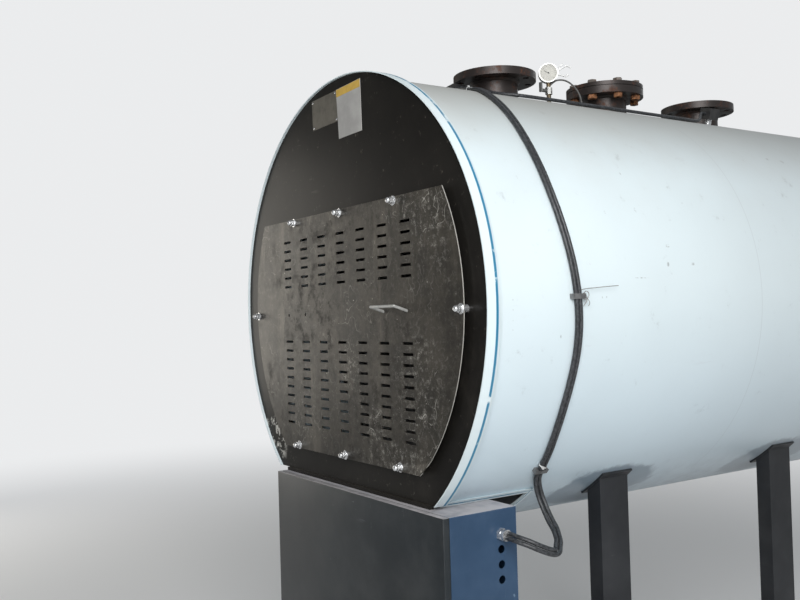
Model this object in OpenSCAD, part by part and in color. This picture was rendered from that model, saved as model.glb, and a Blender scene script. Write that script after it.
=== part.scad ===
// Horizontal industrial boiler: an insulated round vessel in white sheet cladding,
// a black front plate with a slotted terminal cover, a switch cabinet under the front,
// channel legs, and flanged nozzles with a gauge and sensors along the top.
// Millimetres. +X is the right side seen from the front, +Y runs back, +Z is up.
// The origin is on the floor, under the middle of the boiler.

/* [Body] */
// Outer radius of the end bands
ring_r = 710; // [690:5:740]
// Length over both end bands
body_len = 2340; // [2260:10:2500]
// Height of the boiler's axis above the floor
axis_h = 1550; // [1500:5:1650]
// Height of the end bands above the cladding
band_step = 15; // [12:1:20]
// Width of the end bands
band_w = 40; // [34:1:60]
// Thickness of an end band's outer lip
band_lip = 3; // [2:0.5:5]
// Depth of an end plate's face behind the lip
plate_recess = 8; // [4:1:14]
// Thickness of the end plates
end_plate_t = 5; // [3:0.5:8]
// Height of the front plate's cut edge above the band's lowest point
cut_rise = 172; // [150:2:210]
// Height of the sill under the cut edge
sill_h = 10; // [6:1:16]
// Thickness of the cladding sheet
cladding_t = 2; // [1:0.5:4]
// Thickness of the insulation
insulation_t = 55; // [40:1:70]
// Length of the terminal chamber in front of the vessel
chamber_len = 360; // [340:5:400]
// Thickness of the plate that closes the insulation at the chamber
closing_t = 3; // [2:0.5:6]
// Thickness of the edge trim on the cut sheets
trim_t = 5; // [3:0.5:8]

/* [Vessel] */
// Wall of the pressure vessel
vessel_t = 8; // [6:1:14]
// Thickness of the flat vessel heads
head_t = 14; // [10:1:20]
// Insulated space behind the rear head
rear_gap = 60; // [40:5:90]
// Radius of a heater flange
heater_r = 60; // [45:1:64]
// Thickness of a heater flange
heater_t = 20; // [12:1:30]
// Radius of a heater's terminal boss
heater_boss_r = 32; // [20:1:40]
// Length of a heater's terminal boss
heater_boss_len = 55; // [30:1:90]
// Spacing of the heaters, both ways
heater_pitch = 190; // [150:5:200]

/* [Terminal cover] */
// Radius of the cover's round sides
cover_r = 614; // [590:2:630]
// Offset of the cover from the boiler's middle
cover_x = 14; // [0:1:20]
// Height of the cover's top edge above the axis
cover_top = 300; // [280:2:340]
// Depth of the cover's bottom edge below the axis
cover_bottom = 460; // [440:2:480]
// Thickness of the cover sheet
cover_t = 3; // [2:0.5:5]
// Clear space between the cover and the front plate
cover_gap = 15; // [10:1:24]
// Length of a cooling slot
slot_len = 50; // [30:1:70]
// Height of a cooling slot
slot_h = 8; // [5:0.5:12]
// Spacing of the slot columns
slot_pitch_x = 120; // [90:2:124]
// Spacing of the slot rows
slot_pitch_z = 30; // [20:1:31]
// Height of the upper slot group's first row above the axis
upper_rows_top = 227; // [210:1:240]
// Depth of the lower slot group's first row below the axis
lower_rows_top = 107; // [90:1:120]
// Sideways spacing of the studs above and below the slots
stud_pitch = 305; // [240:5:340]
// Distance of the studs from the cover's edge
stud_inset = 11; // [10:1:20]
// Radius of a stud
stud_r = 6; // [4:0.5:8]
// How far a cap nut stands out from the cover
cap_len = 24; // [18:1:32]
// Radius of the nuts
nut_r = 10.5; // [9:0.5:14]
// Height of a nut
nut_h = 12; // [8:1:16]
// Radius of the pull handle's rod
handle_rod_r = 4; // [3:0.5:6]
// Reach of the pull handle
handle_reach = 44; // [30:1:60]
// Upward tilt of the pull handle
handle_tilt = 18; // [0:1:30]
// Depth of the handles' feet below the axis
handle_drop = 18; // [0:1:40]
// Radius of the holes left by the missing handle
handle_hole_r = 5; // [3:0.5:7]

/* [Switch cabinet] */
// Width of the cabinet
cabinet_w = 960; // [900:5:1000]
// Depth of the cabinet with its door
cabinet_d = 240; // [220:5:280]
// Offset of the cabinet's middle from the boiler's axis
cabinet_x = 70; // [0:5:100]
// How far the door stands ahead of the end band
cabinet_proud = 37; // [20:1:60]
// Thickness of the door
door_t = 20; // [15:1:30]
// Thickness of the cabinet's sheets
sheet_t = 2; // [1.5:0.5:4]
// Radius of the cable entry holes
entry_r = 11; // [8:0.5:14]
// Spacing of the cable entry holes
entry_pitch = 40; // [32:1:50]
// Depth of the first entry hole below the cabinet's top
entry_drop = 66; // [50:1:90]
// Distance of the entry holes in front of the cabinet's back
entry_back = 53; // [40:1:80]

/* [Legs] */
// Width of a leg channel's web
leg_web = 120; // [100:5:140]
// Depth of a leg channel's flanges
leg_flange = 53; // [40:1:60]
// Thickness of the leg channel
leg_t = 8; // [5:0.5:10]
// Distance from the axis to the outer face of a leg
leg_x = 443; // [410:1:450]
// Distance of the front legs behind the front band
front_leg_y = 687; // [670:1:710]
// Distance of the rear legs behind the front band
rear_leg_y = 1525; // [1500:5:1600]
// Width of a wear plate between legs and cladding
wear_w = 126; // [110:2:200]
// Thickness of a wear plate
wear_t = 6; // [4:1:10]
// Half of the angle that a wear plate covers
wear_half_angle = 4.8; // [4:0.2:10]
// Length of a foot plate along X
foot_w = 170; // [150:5:200]
// Length of a foot plate along Y
foot_l = 180; // [150:5:200]
// Thickness of a foot plate
foot_t = 12; // [8:1:16]
// Radius of an anchor bolt hole
anchor_r = 9; // [6:0.5:12]
// Distance of the anchor hole outside the leg's face
anchor_out = 40; // [30:1:50]

/* [Nozzles] */
// Distance of the first nozzle behind the front band
nozzle_1_y = 632; // [620:2:650]
// Distance of the middle nozzle behind the front band
nozzle_2_y = 1168; // [1150:2:1190]
// Distance of the last nozzle behind the front band
nozzle_3_y = 1704; // [1690:2:1730]
// Clear height between the sensor heads and the undersides of the main flanges
head_clear = 7; // [5:1:40]
// Outer radius of the main nozzles' necks
neck_r = 79.5; // [70:0.5:84]
// Bore radius of the main nozzles
bore_r = 75; // [65:0.5:78]
// Radius of the main flanges
flange_r = 142.5; // [138:0.5:150]
// Bolt circle of the main flanges
flange_pcd = 240; // [230:1:250]
// Radius of the main flanges' bolt holes
flange_hole_r = 11; // [8:0.5:12]
// Thickness of the main flanges
flange_t = 26; // [20:1:32]
// Outer radius of the middle nozzle's neck
middle_neck_r = 79.5; // [70:0.5:84]
// Bore radius of the middle nozzle
middle_bore_r = 75; // [65:0.5:78]
// Radius of the middle flange
middle_flange_r = 142.5; // [138:0.5:150]
// Bolt circle of the middle flange
middle_flange_pcd = 240; // [230:1:250]
// Radius of the middle flange's bolt holes
middle_hole_r = 11; // [8:0.5:12]
// Thickness of the middle flange
middle_flange_t = 26; // [20:1:32]
// Thickness of the blind flange on it
blind_t = 14; // [12:1:30]
// Thickness of the gasket under the blind flange
gasket_t = 2; // [1:0.5:4]
// Number of bolts in every flange
flange_bolts = 8; // [4:4:12]

/* [Instruments] */
// Distance of the gauge behind the front band
gauge_y = 884; // [860:2:900]
// Height of the gauge's middle above the cladding
gauge_stand = 137; // [120:1:175]
// Radius of the gauge case
gauge_r = 35; // [25:1:50]
// Depth of the gauge case
gauge_t = 26; // [18:1:34]
// Direction that the gauge faces, from the front towards the right
gauge_turn = 52; // [0:1:90]
// Radius of the gauge's stem
gauge_stem_r = 8; // [6:0.5:12]
// Radius of a sensor pocket
pocket_r = 12; // [8:0.5:16]
// Height of a sensor pocket above the cladding
pocket_h = 20; // [16:1:30]
// Width of a sensor head, round the shell
sensor_w = 48; // [40:1:60]
// Length of a sensor head, along the shell
sensor_l = 52; // [48:1:60]
// Height of a sensor head
sensor_h = 42; // [38:1:60]
// Radius of the gauge cock's body
cock_r = 13; // [11:0.5:18]
// Height of the gauge cock's body
cock_h = 26; // [20:1:34]

/* [Cables] */
// Radius of one cable
cable_r = 6; // [4:0.5:8]
// Spacing of the paired cables
cable_pitch = 12.6; // [12.6:0.1:20]
// Length of the cable gland outside the cabinet
gland_len = 26; // [18:1:40]
// Radius of the cable gland
gland_r = 17; // [14:0.5:22]
// Thickness of a cable clip
clip_t = 1; // [1:0.5:3]
// Width of a cable clip
clip_w = 14; // [8:1:24]

/* [Hidden] */

big_fn = 180;
mid_fn = 96;
small_fn = 32;
over = 1;
far = 1000;

cladding_r = ring_r - band_step;
cladding_inner_r = cladding_r - cladding_t;
vessel_r = cladding_inner_r - insulation_t;
vessel_inner_r = vessel_r - vessel_t;
cut_drop = ring_r - cut_rise;
nozzle_h = cladding_r + pocket_h + sensor_h + head_clear + flange_t;
gauge_h = cladding_r + gauge_stand;
plate_back = plate_recess + end_plate_t;
vessel_end = body_len - rear_gap - plate_back;
rear_plate_y = body_len - plate_back;
cabinet_h = axis_h - cut_drop - sill_h;
cabinet_front_y = door_t - cabinet_proud;
cabinet_back_y = cabinet_d - cabinet_proud;
cabinet_inner_d = cabinet_back_y - cabinet_front_y;
cabinet_left = cabinet_x - cabinet_w / 2;
cabinet_right = cabinet_x + cabinet_w / 2;
cover_back = plate_recess - cover_gap;
cover_face = cover_back - cover_t;
front_reach = handle_reach * cos(handle_tilt) + handle_rod_r - cover_face;
front_y = (front_reach - body_len) / 2;
window_margin = 60;
slot_columns = 7;
upper_rows = 6;
lower_rows = 10;
trim_rise = 4;
clip_foot = 9;
trim_w = 14;
handle_hole_columns = [-3, -2];
foot_inset = 20;
wear_middle = acos((leg_x - leg_flange / 2) / (cladding_r + wear_t));
bezel_w = 4;
cock_z = gauge_h - gauge_r - 16 - cock_h;
cock_lever = [10, 8, 34];
exit_h = pocket_h + sensor_h / 2;
pair_exit_y = -11;
ridge_exit_y = 13;
exit_straight = 16;
entry_count = 4;
entry_y = cabinet_back_y - entry_back;
entry_z = -cut_drop - sill_h - entry_drop;
neck_depth = 20;
pocket_depth = 20;
hole_clearance = 0.5;
blind_h = nozzle_h + gasket_t;
cap_r = 0.8 * nut_r;
blind_bolt_r = middle_hole_r - 1;
blind_nut_r = 17;
blind_nut_h = 16;
blind_head_h = 12.5;

// Sensor places: angle round the axis from +X, and distance behind the front band
front_sensor = [94.5, 505];
rear_sensor = [76, 1550];
spare_pocket = [87, 1330];

// Middle of the cable pair after the front sensor head: angle round the axis from +X, distance
// behind the front band, and height above its place on the cladding
drop_on_shell = [[89, 493, 28], [86, 484, 16], [83, 466, 7], [80, 442, 2], [77, 418, 0],
    [73, 391, 0], [69, 366, 0], [65, 346, 0], [60, 328, 0], [54, 313, 0], [48, 300, 0],
    [42, 289, 0], [36, 282, 0], [30, 279, 0], [24, 279, 0], [18, 284, 0], [12, 292, 0],
    [6, 301, 0], [0, 308, 0], [-6, 312, 0], [-12, 311, 0], [-18, 306, 0], [-24, 303, 0],
    [-30, 305, 0], [-36, 312, 0], [-40.5, 318, 0], [-43, 322, 0]];
// The free loop from the last clip down to the gland, from the gland's mouth, and the place
// on the shell where it starts, from the same mouth
drop_loop = [[-73, 175, 117], [-78, 180, 94], [-76, 185, 70], [-67, 188, 46], [-52, 187, 24],
    [-34, 184, 5], [-13, 179, -11], [7, 168, -23], [26, 155, -33], [43, 137, -41],
    [61, 118, -47], [75, 95, -44], [82, 68, -35], [77, 41, -23], [61, 19, -11], [39, 5, -4],
    [16, 0, 0]];
loop_start = [-62, 172, 135];
loop_facing = [0.557, -0.663, 0.5];
// The single cable along the top, between the two sensor heads
ridge_on_shell = [[88, 519, 26], [84.5, 522, 13], [81, 528, 4], [78.5, 541, 0], [76, 565, 0],
    [74.2, 605, 0], [73, 660, 0], [72.2, 720, 0], [71.5, 790, 0], [71, 870, 0], [70.8, 950, 0],
    [70.8, 1030, 0], [71, 1110, 0], [71, 1190, 0], [70.6, 1260, 0], [70.4, 1330, 0],
    [71, 1400, 0], [71.8, 1432, 4], [73.2, 1458, 12], [74.8, 1482, 22], [75.7, 1499, 31]];
cable_lift = cable_r + 1.5;
drop_r = cladding_r + cable_lift;

function on_shell(p, r) = [r * cos(p[0]), p[1], r * sin(p[0])];
function lifted(p) = on_shell(p, drop_r + p[2]);
// A place in a sensor head's own frame: round the shell, along it, and above the cladding
function at_head(p, x, y, h) =
    on_shell(p, cladding_r + h) + [x * sin(p[0]), y, -x * cos(p[0])];
function unit(v) = v / norm(v);
function tangent(path, i) =
    unit(path[min(i + 1, len(path) - 1)] - path[max(i - 1, 0)]);
function outward(p) = unit([p[0], 0, p[2]]);
// Direction that a cable pair lies flat against: the shell as far as its last place there, and
// then more and more a slanting plane that faces the front
function flat_on(path, i, shell_end) =
    let (w = min(max(i - shell_end, 0) / loop_end, 1), share = w * w * (3 - 2 * w))
    outward(path[i]) * (1 - share) + loop_facing * share;
function side_of(path, i, shell_end) =
    unit(cross(tangent(path, i), flat_on(path, i, shell_end)));
// The end segments are shifted without a turn, so that the cable's ends stay square to them
function steady(path, i) = i == 1 ? 0 : i == len(path) - 2 ? len(path) - 1 : i;
function shifted(path, d, shell_end) =
    [for (i = [0 : len(path) - 1]) path[i] + d * side_of(path, steady(path, i), shell_end)];

gland_mouth = [cabinet_right + gland_len, entry_y, entry_z];
head_exit_x = [sensor_w / 2, sensor_w / 2 + exit_straight];
loop_shift = lifted(drop_on_shell[len(drop_on_shell) - 1]) - gland_mouth - loop_start;
loop_end = len(drop_loop) - 1;
drop_shell_end = len(head_exit_x) + len(drop_on_shell) - 1;
drop_route = concat(
    [for (x = head_exit_x) at_head(front_sensor, x, pair_exit_y, exit_h)],
    [for (p = drop_on_shell) lifted(p)],
    [for (i = [0 : loop_end]) gland_mouth + drop_loop[i] + (1 - i / loop_end) * loop_shift],
    [gland_mouth]);
ridge_path = concat(
    [for (x = head_exit_x) at_head(front_sensor, x, ridge_exit_y, exit_h)],
    [for (p = ridge_on_shell) lifted(p)],
    [for (y = [-sensor_l / 2 - 12, -sensor_l / 2]) at_head(rear_sensor, 0, y, exit_h)]);

// Moves from the floor's origin to the boiler's own frame: the axis where the front band starts
module on_axis() translate([0, front_y, axis_h]) children();

// A round bar along Y
module bar_y(r, y, len, fn = big_fn)
    translate([0, y, 0]) rotate([-90, 0, 0]) cylinder(r = r, h = len, $fn = fn);

// A tube along Y
module tube_y(r_out, r_in, y, len)
    difference() {
        bar_y(r_out, y, len);
        bar_y(r_in, y - over, len + 2 * over);
    }

// Everything below the cut edge, along the given length
module below_cut(y, len)
    translate([-far, y, -far]) cube([2 * far, len, far - cut_drop]);

// Holes for everything that passes the shell at the top
module top_holes(clearance = 0) {
    for (y = [nozzle_1_y, nozzle_3_y])
        translate([0, y, 0]) cylinder(r = neck_r + clearance, h = far, $fn = mid_fn);
    translate([0, nozzle_2_y, 0]) cylinder(r = middle_neck_r + clearance, h = far, $fn = mid_fn);
    translate([0, gauge_y, 0]) cylinder(r = gauge_stem_r + clearance, h = far, $fn = small_fn);
    for (p = [front_sensor, rear_sensor, spare_pocket])
        at_shell(p) cylinder(r = pocket_r + clearance, h = far, center = true, $fn = small_fn);
}

// Turns +Z outwards at a place on the cladding
module at_shell(p, r = cladding_r)
    translate(on_shell(p, r)) rotate([0, 90 - p[0], 0]) children();

// Cuts away everything below the axis
module above_axis()
    intersection() {
        children();
        translate([-far, -over, 0]) cube([2 * far, body_len + 2 * over, far]);
    }

// The vessel's shell is rolled from two plates, with their seams level with the axis
module vessel_plate()
    tube_y(vessel_r, vessel_inner_r, chamber_len, vessel_end - chamber_len);

module vessel_upper_shell()
    color("dimgray") on_axis()
        difference() {
            above_axis() vessel_plate();
            top_holes();
        }

module vessel_lower_shell()
    color("dimgray") on_axis() mirror([0, 0, 1]) above_axis() vessel_plate();

module vessel_front_head()
    color("dimgray") on_axis() bar_y(vessel_inner_r, chamber_len, head_t);

module vessel_rear_head()
    color("dimgray") on_axis() bar_y(vessel_inner_r, vessel_end - head_t, head_t);

module heaters()
    color("silver") on_axis()
        for (column = [-1.5 : 1 : 1.5], row = [-1 : 1])
            translate([column * heater_pitch, 0, row * heater_pitch]) {
                bar_y(heater_r, chamber_len - heater_t, heater_t, small_fn);
                bar_y(heater_boss_r, chamber_len - heater_t - heater_boss_len, heater_boss_len, 6);
            }

module insulation()
    color("khaki") on_axis()
        difference() {
            bar_y(cladding_inner_r, chamber_len + closing_t, rear_plate_y - chamber_len - closing_t);
            bar_y(vessel_r, chamber_len, vessel_end - chamber_len);
            top_holes();
        }

module closing_plate()
    color("dimgray") on_axis() tube_y(cladding_inner_r, vessel_r, chamber_len, closing_t);

// Two cladding sheets, which meet under the body and along the line of the nozzles
module cladding_sheet(side)
    color("whitesmoke") on_axis()
        difference() {
            tube_y(cladding_r, cladding_inner_r, chamber_len, rear_plate_y - chamber_len);
            top_holes();
            mirror([side, 0, 0]) translate([-far, 0, -far]) cube([far, body_len, 2 * far]);
        }

module cladding_left_sheet() cladding_sheet(1);
module cladding_right_sheet() cladding_sheet(0);

module chamber_hood()
    color("whitesmoke") on_axis()
        difference() {
            tube_y(cladding_r, cladding_inner_r, plate_back, chamber_len - plate_back);
            below_cut(0, chamber_len + over);
        }

// Profile of an end band, turned about its own Z axis, front edge at zero
module band_ring()
    rotate([-90, 0, 0])
        rotate_extrude($fn = big_fn)
            polygon([[ring_r - band_lip, 0], [ring_r, 0], [ring_r, band_w], [cladding_r, band_w],
                [cladding_r, plate_back], [ring_r - band_lip, plate_back]]);

module front_band()
    color("whitesmoke") on_axis()
        difference() {
            band_ring();
            below_cut(-over, band_w + 2 * over);
        }

module rear_band()
    color("whitesmoke") on_axis() translate([0, body_len, 0]) mirror([0, 1, 0]) band_ring();

// Outline of the terminal cover, grown by d
module cover_outline(d = 0)
    intersection() {
        translate([cover_x, 0]) circle(r = cover_r + d, $fn = big_fn);
        translate([-far, -cover_bottom - d])
            square([2 * far, cover_top + cover_bottom + 2 * d]);
    }

// Draws a flat shape in XZ with its front face at y
module sheet_xz(y, t)
    translate([0, y + t, 0]) rotate([90, 0, 0]) linear_extrude(t) children();

module front_plate()
    color([0.07, 0.07, 0.07]) on_axis()
        difference() {
            bar_y(ring_r - band_lip, plate_recess, end_plate_t);
            below_cut(0, plate_back + over);
            sheet_xz(plate_recess - over, end_plate_t + 2 * over) cover_outline(-window_margin);
        }

module rear_plate()
    color([0.07, 0.07, 0.07]) on_axis() bar_y(ring_r - band_lip, rear_plate_y, end_plate_t);

// Edge trim on the hood's two long cuts and on the cladding's front edge between them
module cut_edge_trim()
    color("lightsteelblue") on_axis() {
        intersection() {
            tube_y(cladding_r + trim_t, cladding_r, band_w, chamber_len - band_w);
            translate([-far, 0, -cut_drop - sill_h])
                cube([2 * far, chamber_len, sill_h + trim_rise]);
        }
        intersection() {
            tube_y(cladding_r + trim_t, cladding_inner_r, chamber_len - trim_w, trim_w);
            below_cut(0, chamber_len + over);
        }
    }

module front_sill()
    color([0.07, 0.07, 0.07]) on_axis()
        translate([cabinet_left + sheet_t, 0, -cut_drop - sill_h])
            cube([sqrt(pow(cladding_r, 2) - pow(cut_drop, 2)) - cabinet_left - sheet_t, plate_back,
                sill_h]);

// Stud places on the cover, seen from the front
stud_places = concat(
    [for (column = [-1 : 1], z = [cover_top - stud_inset, stud_inset - cover_bottom])
        [cover_x + column * stud_pitch, z]],
    [for (side = [-1, 1]) [cover_x + side * (cover_r - stud_inset), -handle_drop]]);

module terminal_cover()
    color([0.2, 0.19, 0.18]) on_axis()
        sheet_xz(cover_face, cover_t)
            difference() {
                cover_outline();
                for (column = [0 : slot_columns - 1])
                    translate([cover_x + (column - (slot_columns - 1) / 2) * slot_pitch_x, 0]) {
                        for (row = [0 : upper_rows - 1])
                            translate([0, upper_rows_top - row * slot_pitch_z])
                                square([slot_len, slot_h], center = true);
                        for (row = [0 : lower_rows - 1])
                            translate([0, -lower_rows_top - row * slot_pitch_z])
                                square([slot_len, slot_h], center = true);
                    }
                for (p = stud_places)
                    translate(p) circle(r = stud_r + hole_clearance, $fn = small_fn);
                for (column = handle_hole_columns)
                    translate([cover_x + column * slot_pitch_x, -handle_drop])
                        circle(r = handle_hole_r, $fn = small_fn);
            }

// Studs with a spacer sleeve behind the cover and a domed cap nut in front of it
module cover_studs()
    color("gainsboro") on_axis()
        for (p = stud_places)
            translate([p[0], 0, p[1]]) {
                bar_y(stud_r, cover_face - nut_h, plate_recess - cover_face + nut_h, small_fn);
                bar_y(nut_r, cover_face - nut_h, nut_h, 6);
                bar_y(cap_r, cover_face - cap_len + cap_r, cap_len - cap_r, small_fn);
                translate([0, cover_face - cap_len + cap_r, 0]) sphere(r = cap_r, $fn = small_fn);
                bar_y(nut_r, cover_back, cover_gap, small_fn);
            }

module pull_handle()
    color("silver") on_axis()
        translate([cover_x + 2.5 * slot_pitch_x, cover_face, -handle_drop])
            intersection() {
                rotate([-handle_tilt, 0, 0]) {
                    for (side = [-1, 1])
                        translate([side * slot_pitch_x / 2, 0, 0]) {
                            bar_y(handle_rod_r, -handle_reach, handle_reach + 2 * handle_rod_r,
                                small_fn);
                            translate([0, -handle_reach, 0]) sphere(r = handle_rod_r, $fn = small_fn);
                        }
                    translate([0, -handle_reach, 0]) rotate([0, 90, 0])
                        cylinder(r = handle_rod_r, h = slot_pitch_x, center = true, $fn = small_fn);
                }
                translate([-far, -far, -far]) cube([2 * far, far, 2 * far]);
            }

module cabinet_box(x, y, z, size) translate([x, front_y + y, z]) cube(size);

module cabinet_top()
    color("slategray")
        cabinet_box(cabinet_left, cabinet_front_y, cabinet_h - sheet_t,
            [cabinet_w, cabinet_inner_d, sheet_t]);

module cabinet_base()
    color("slategray")
        cabinet_box(cabinet_left, cabinet_front_y, 0, [cabinet_w, cabinet_inner_d, sheet_t]);

module cabinet_left_side()
    color("slategray")
        cabinet_box(cabinet_left, cabinet_front_y, sheet_t,
            [sheet_t, cabinet_inner_d, cabinet_h - 2 * sheet_t]);

module cabinet_right_side()
    color("slategray")
        difference() {
            cabinet_box(cabinet_right - sheet_t, cabinet_front_y, sheet_t,
                [sheet_t, cabinet_inner_d, cabinet_h - 2 * sheet_t]);
            on_axis()
                for (i = [0 : entry_count - 1])
                    translate([cabinet_right, entry_y, entry_z - i * entry_pitch]) rotate([0, 90, 0])
                        cylinder(r = entry_r, h = 4 * sheet_t, center = true, $fn = small_fn);
        }

module cabinet_back()
    color("slategray")
        cabinet_box(cabinet_left + sheet_t, cabinet_back_y - sheet_t, sheet_t,
            [cabinet_w - 2 * sheet_t, sheet_t, cabinet_h - 2 * sheet_t]);

// A pan with its rim turned back towards the cabinet
module cabinet_door()
    color("slategray")
        difference() {
            cabinet_box(cabinet_left, -cabinet_proud, 0, [cabinet_w, door_t, cabinet_h]);
            cabinet_box(cabinet_left + sheet_t, sheet_t - cabinet_proud, sheet_t,
                [cabinet_w - 2 * sheet_t, door_t, cabinet_h - 2 * sheet_t]);
        }

// A channel leg on the +X side: web outwards, top cut to the wear plate
module leg(y)
    color([0.1, 0.1, 0.11])
        difference() {
            translate([leg_x - leg_flange, front_y + y - leg_web / 2, foot_t])
                difference() {
                    cube([leg_flange, leg_web, axis_h - foot_t - cladding_r / 2]);
                    translate([-over, leg_t, -over])
                        cube([leg_flange - leg_t + over, leg_web - 2 * leg_t, axis_h]);
                }
            on_axis() bar_y(cladding_r + wear_t, 0, body_len);
        }

module front_right_leg() leg(front_leg_y);
module rear_right_leg() leg(rear_leg_y);
module front_left_leg() mirror([1, 0, 0]) leg(front_leg_y);
module rear_left_leg() mirror([1, 0, 0]) leg(rear_leg_y);

module foot_plates()
    color([0.1, 0.1, 0.11])
        for (side = [0, 1], y = [front_leg_y, rear_leg_y])
            mirror([side, 0, 0])
                translate([leg_x - leg_flange - foot_inset, front_y + y - foot_l / 2, 0])
                    difference() {
                        cube([foot_w, foot_l, foot_t]);
                        translate([leg_flange + foot_inset + anchor_out, foot_l / 2, -over])
                            cylinder(r = anchor_r, h = foot_t + 2 * over, $fn = small_fn);
                    }

// Curved plates on the cladding, where the legs are welded on
module wear_plates()
    color([0.12, 0.12, 0.13]) on_axis()
        for (side = [0, 1], y = [front_leg_y, rear_leg_y])
            mirror([side, 0, 0])
                translate([0, y - wear_w / 2, 0]) rotate([-90, 0, 0])
                    rotate([0, 0, wear_middle - wear_half_angle])
                        rotate_extrude(angle = 2 * wear_half_angle, $fn = big_fn)
                            translate([cladding_r, 0]) square([wear_t, wear_w]);

// Bolt places round a flange, with the first hole half a step off the middle line
module round_bolts(pcd)
    for (i = [0 : flange_bolts - 1])
        rotate([0, 0, (i + 0.5) * 360 / flange_bolts]) translate([pcd / 2, 0, 0]) children();

// The three necks, each from just inside the vessel up to its flange's face
module nozzle_necks()
    color([0.25, 0.24, 0.24]) on_axis()
        for (n = [[nozzle_1_y, neck_r, bore_r], [nozzle_2_y, middle_neck_r, middle_bore_r],
                [nozzle_3_y, neck_r, bore_r]])
            translate([0, n[0], vessel_inner_r - neck_depth])
                difference() {
                    cylinder(r = n[1], h = nozzle_h - vessel_inner_r + neck_depth, $fn = mid_fn);
                    translate([0, 0, -over]) cylinder(r = n[2], h = far, $fn = mid_fn);
                }

// A flange round a neck, its face level with the neck's end
module neck_flange(y, hole_r, rim_r, rim_t, pcd, bolt_r)
    translate([0, y, nozzle_h - rim_t])
        difference() {
            cylinder(r = rim_r, h = rim_t, $fn = mid_fn);
            translate([0, 0, -over]) cylinder(r = hole_r, h = rim_t + 2 * over, $fn = mid_fn);
            round_bolts(pcd)
                translate([0, 0, -over]) cylinder(r = bolt_r, h = rim_t + 2 * over, $fn = small_fn);
        }

module nozzle_flanges()
    color([0.25, 0.24, 0.24]) on_axis() {
        for (y = [nozzle_1_y, nozzle_3_y])
            neck_flange(y, neck_r, flange_r, flange_t, flange_pcd, flange_hole_r);
        neck_flange(nozzle_2_y, middle_neck_r, middle_flange_r, middle_flange_t, middle_flange_pcd,
            middle_hole_r);
    }

module at_middle_nozzle(z) on_axis() translate([0, nozzle_2_y, z]) children();

module blind_flange()
    color([0.25, 0.24, 0.24]) at_middle_nozzle(blind_h)
        difference() {
            cylinder(r = middle_flange_r, h = blind_t, $fn = mid_fn);
            round_bolts(middle_flange_pcd)
                translate([0, 0, -over])
                    cylinder(r = middle_hole_r, h = blind_t + 2 * over, $fn = small_fn);
        }

module blind_flange_gasket()
    color("black") at_middle_nozzle(nozzle_h)
        difference() {
            cylinder(r = middle_flange_pcd / 2 - middle_hole_r - over, h = gasket_t, $fn = mid_fn);
            translate([0, 0, -over])
                cylinder(r = middle_bore_r, h = gasket_t + 2 * over, $fn = mid_fn);
        }

module blind_flange_bolts()
    color("sienna") at_middle_nozzle(0)
        round_bolts(middle_flange_pcd) {
            translate([0, 0, nozzle_h - middle_flange_t - blind_nut_h])
                cylinder(r = blind_nut_r, h = blind_nut_h, $fn = 6);
            translate([0, 0, nozzle_h - middle_flange_t - blind_nut_h])
                cylinder(r = blind_bolt_r,
                    h = blind_nut_h + middle_flange_t + gasket_t + blind_t + over, $fn = small_fn);
            translate([0, 0, blind_h + blind_t])
                cylinder(r = blind_nut_r, h = blind_head_h, $fn = 6);
        }

module at_gauge(z) on_axis() translate([0, gauge_y, z]) children();

// Round case with a raised bezel, its dial turned to the front and the right
module gauge_case()
    color("gainsboro") at_gauge(gauge_h) rotate([0, 0, gauge_turn])
        difference() {
            bar_y(gauge_r, -gauge_t / 2, gauge_t, mid_fn);
            bar_y(gauge_r - bezel_w, -gauge_t, gauge_t / 2 + bezel_w, mid_fn);
        }

module gauge_stem()
    color("darkgoldenrod") at_gauge(0)
        difference() {
            translate([0, 0, vessel_inner_r - pocket_depth])
                cylinder(r = gauge_stem_r, h = gauge_h - gauge_r - vessel_inner_r + pocket_depth + 2,
                    $fn = small_fn);
            translate([0, 0, gauge_h]) rotate([0, 0, gauge_turn])
                bar_y(gauge_r, -gauge_t / 2, gauge_t, mid_fn);
        }

// Shut-off cock round the stem, with its lever standing off to the left
module gauge_cock()
    color("silver") at_gauge(cock_z)
        difference() {
            union() {
                cylinder(r = cock_r, h = cock_h, $fn = 6);
                translate([0, 0, cock_h / 2]) rotate([90, 0, 0])
                    cylinder(r = cock_r / 2, h = cock_lever[2], $fn = small_fn);
                translate([-cock_lever[0] / 2, -cock_lever[1] - cock_lever[2],
                    cock_h / 2 - cock_r / 2])
                    cube(cock_lever);
            }
            translate([0, 0, -over]) cylinder(r = gauge_stem_r, h = cock_h + 2 * over, $fn = small_fn);
        }

module sensor_pockets()
    color("silver") on_axis()
        for (p = [front_sensor, rear_sensor, spare_pocket])
            at_shell(p)
                translate([0, 0, vessel_inner_r - pocket_depth - cladding_r])
                    cylinder(r = pocket_r, h = cladding_r - vessel_inner_r + pocket_depth + pocket_h,
                        $fn = small_fn);

// Square heads on top of the pockets; the cables leave them sideways
module sensor_heads()
    color([0.1, 0.1, 0.1]) on_axis()
        for (p = [front_sensor, rear_sensor])
            at_shell(p, cladding_r + pocket_h)
                translate([-sensor_w / 2, -sensor_l / 2, 0]) cube([sensor_w, sensor_l, sensor_h]);

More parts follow.
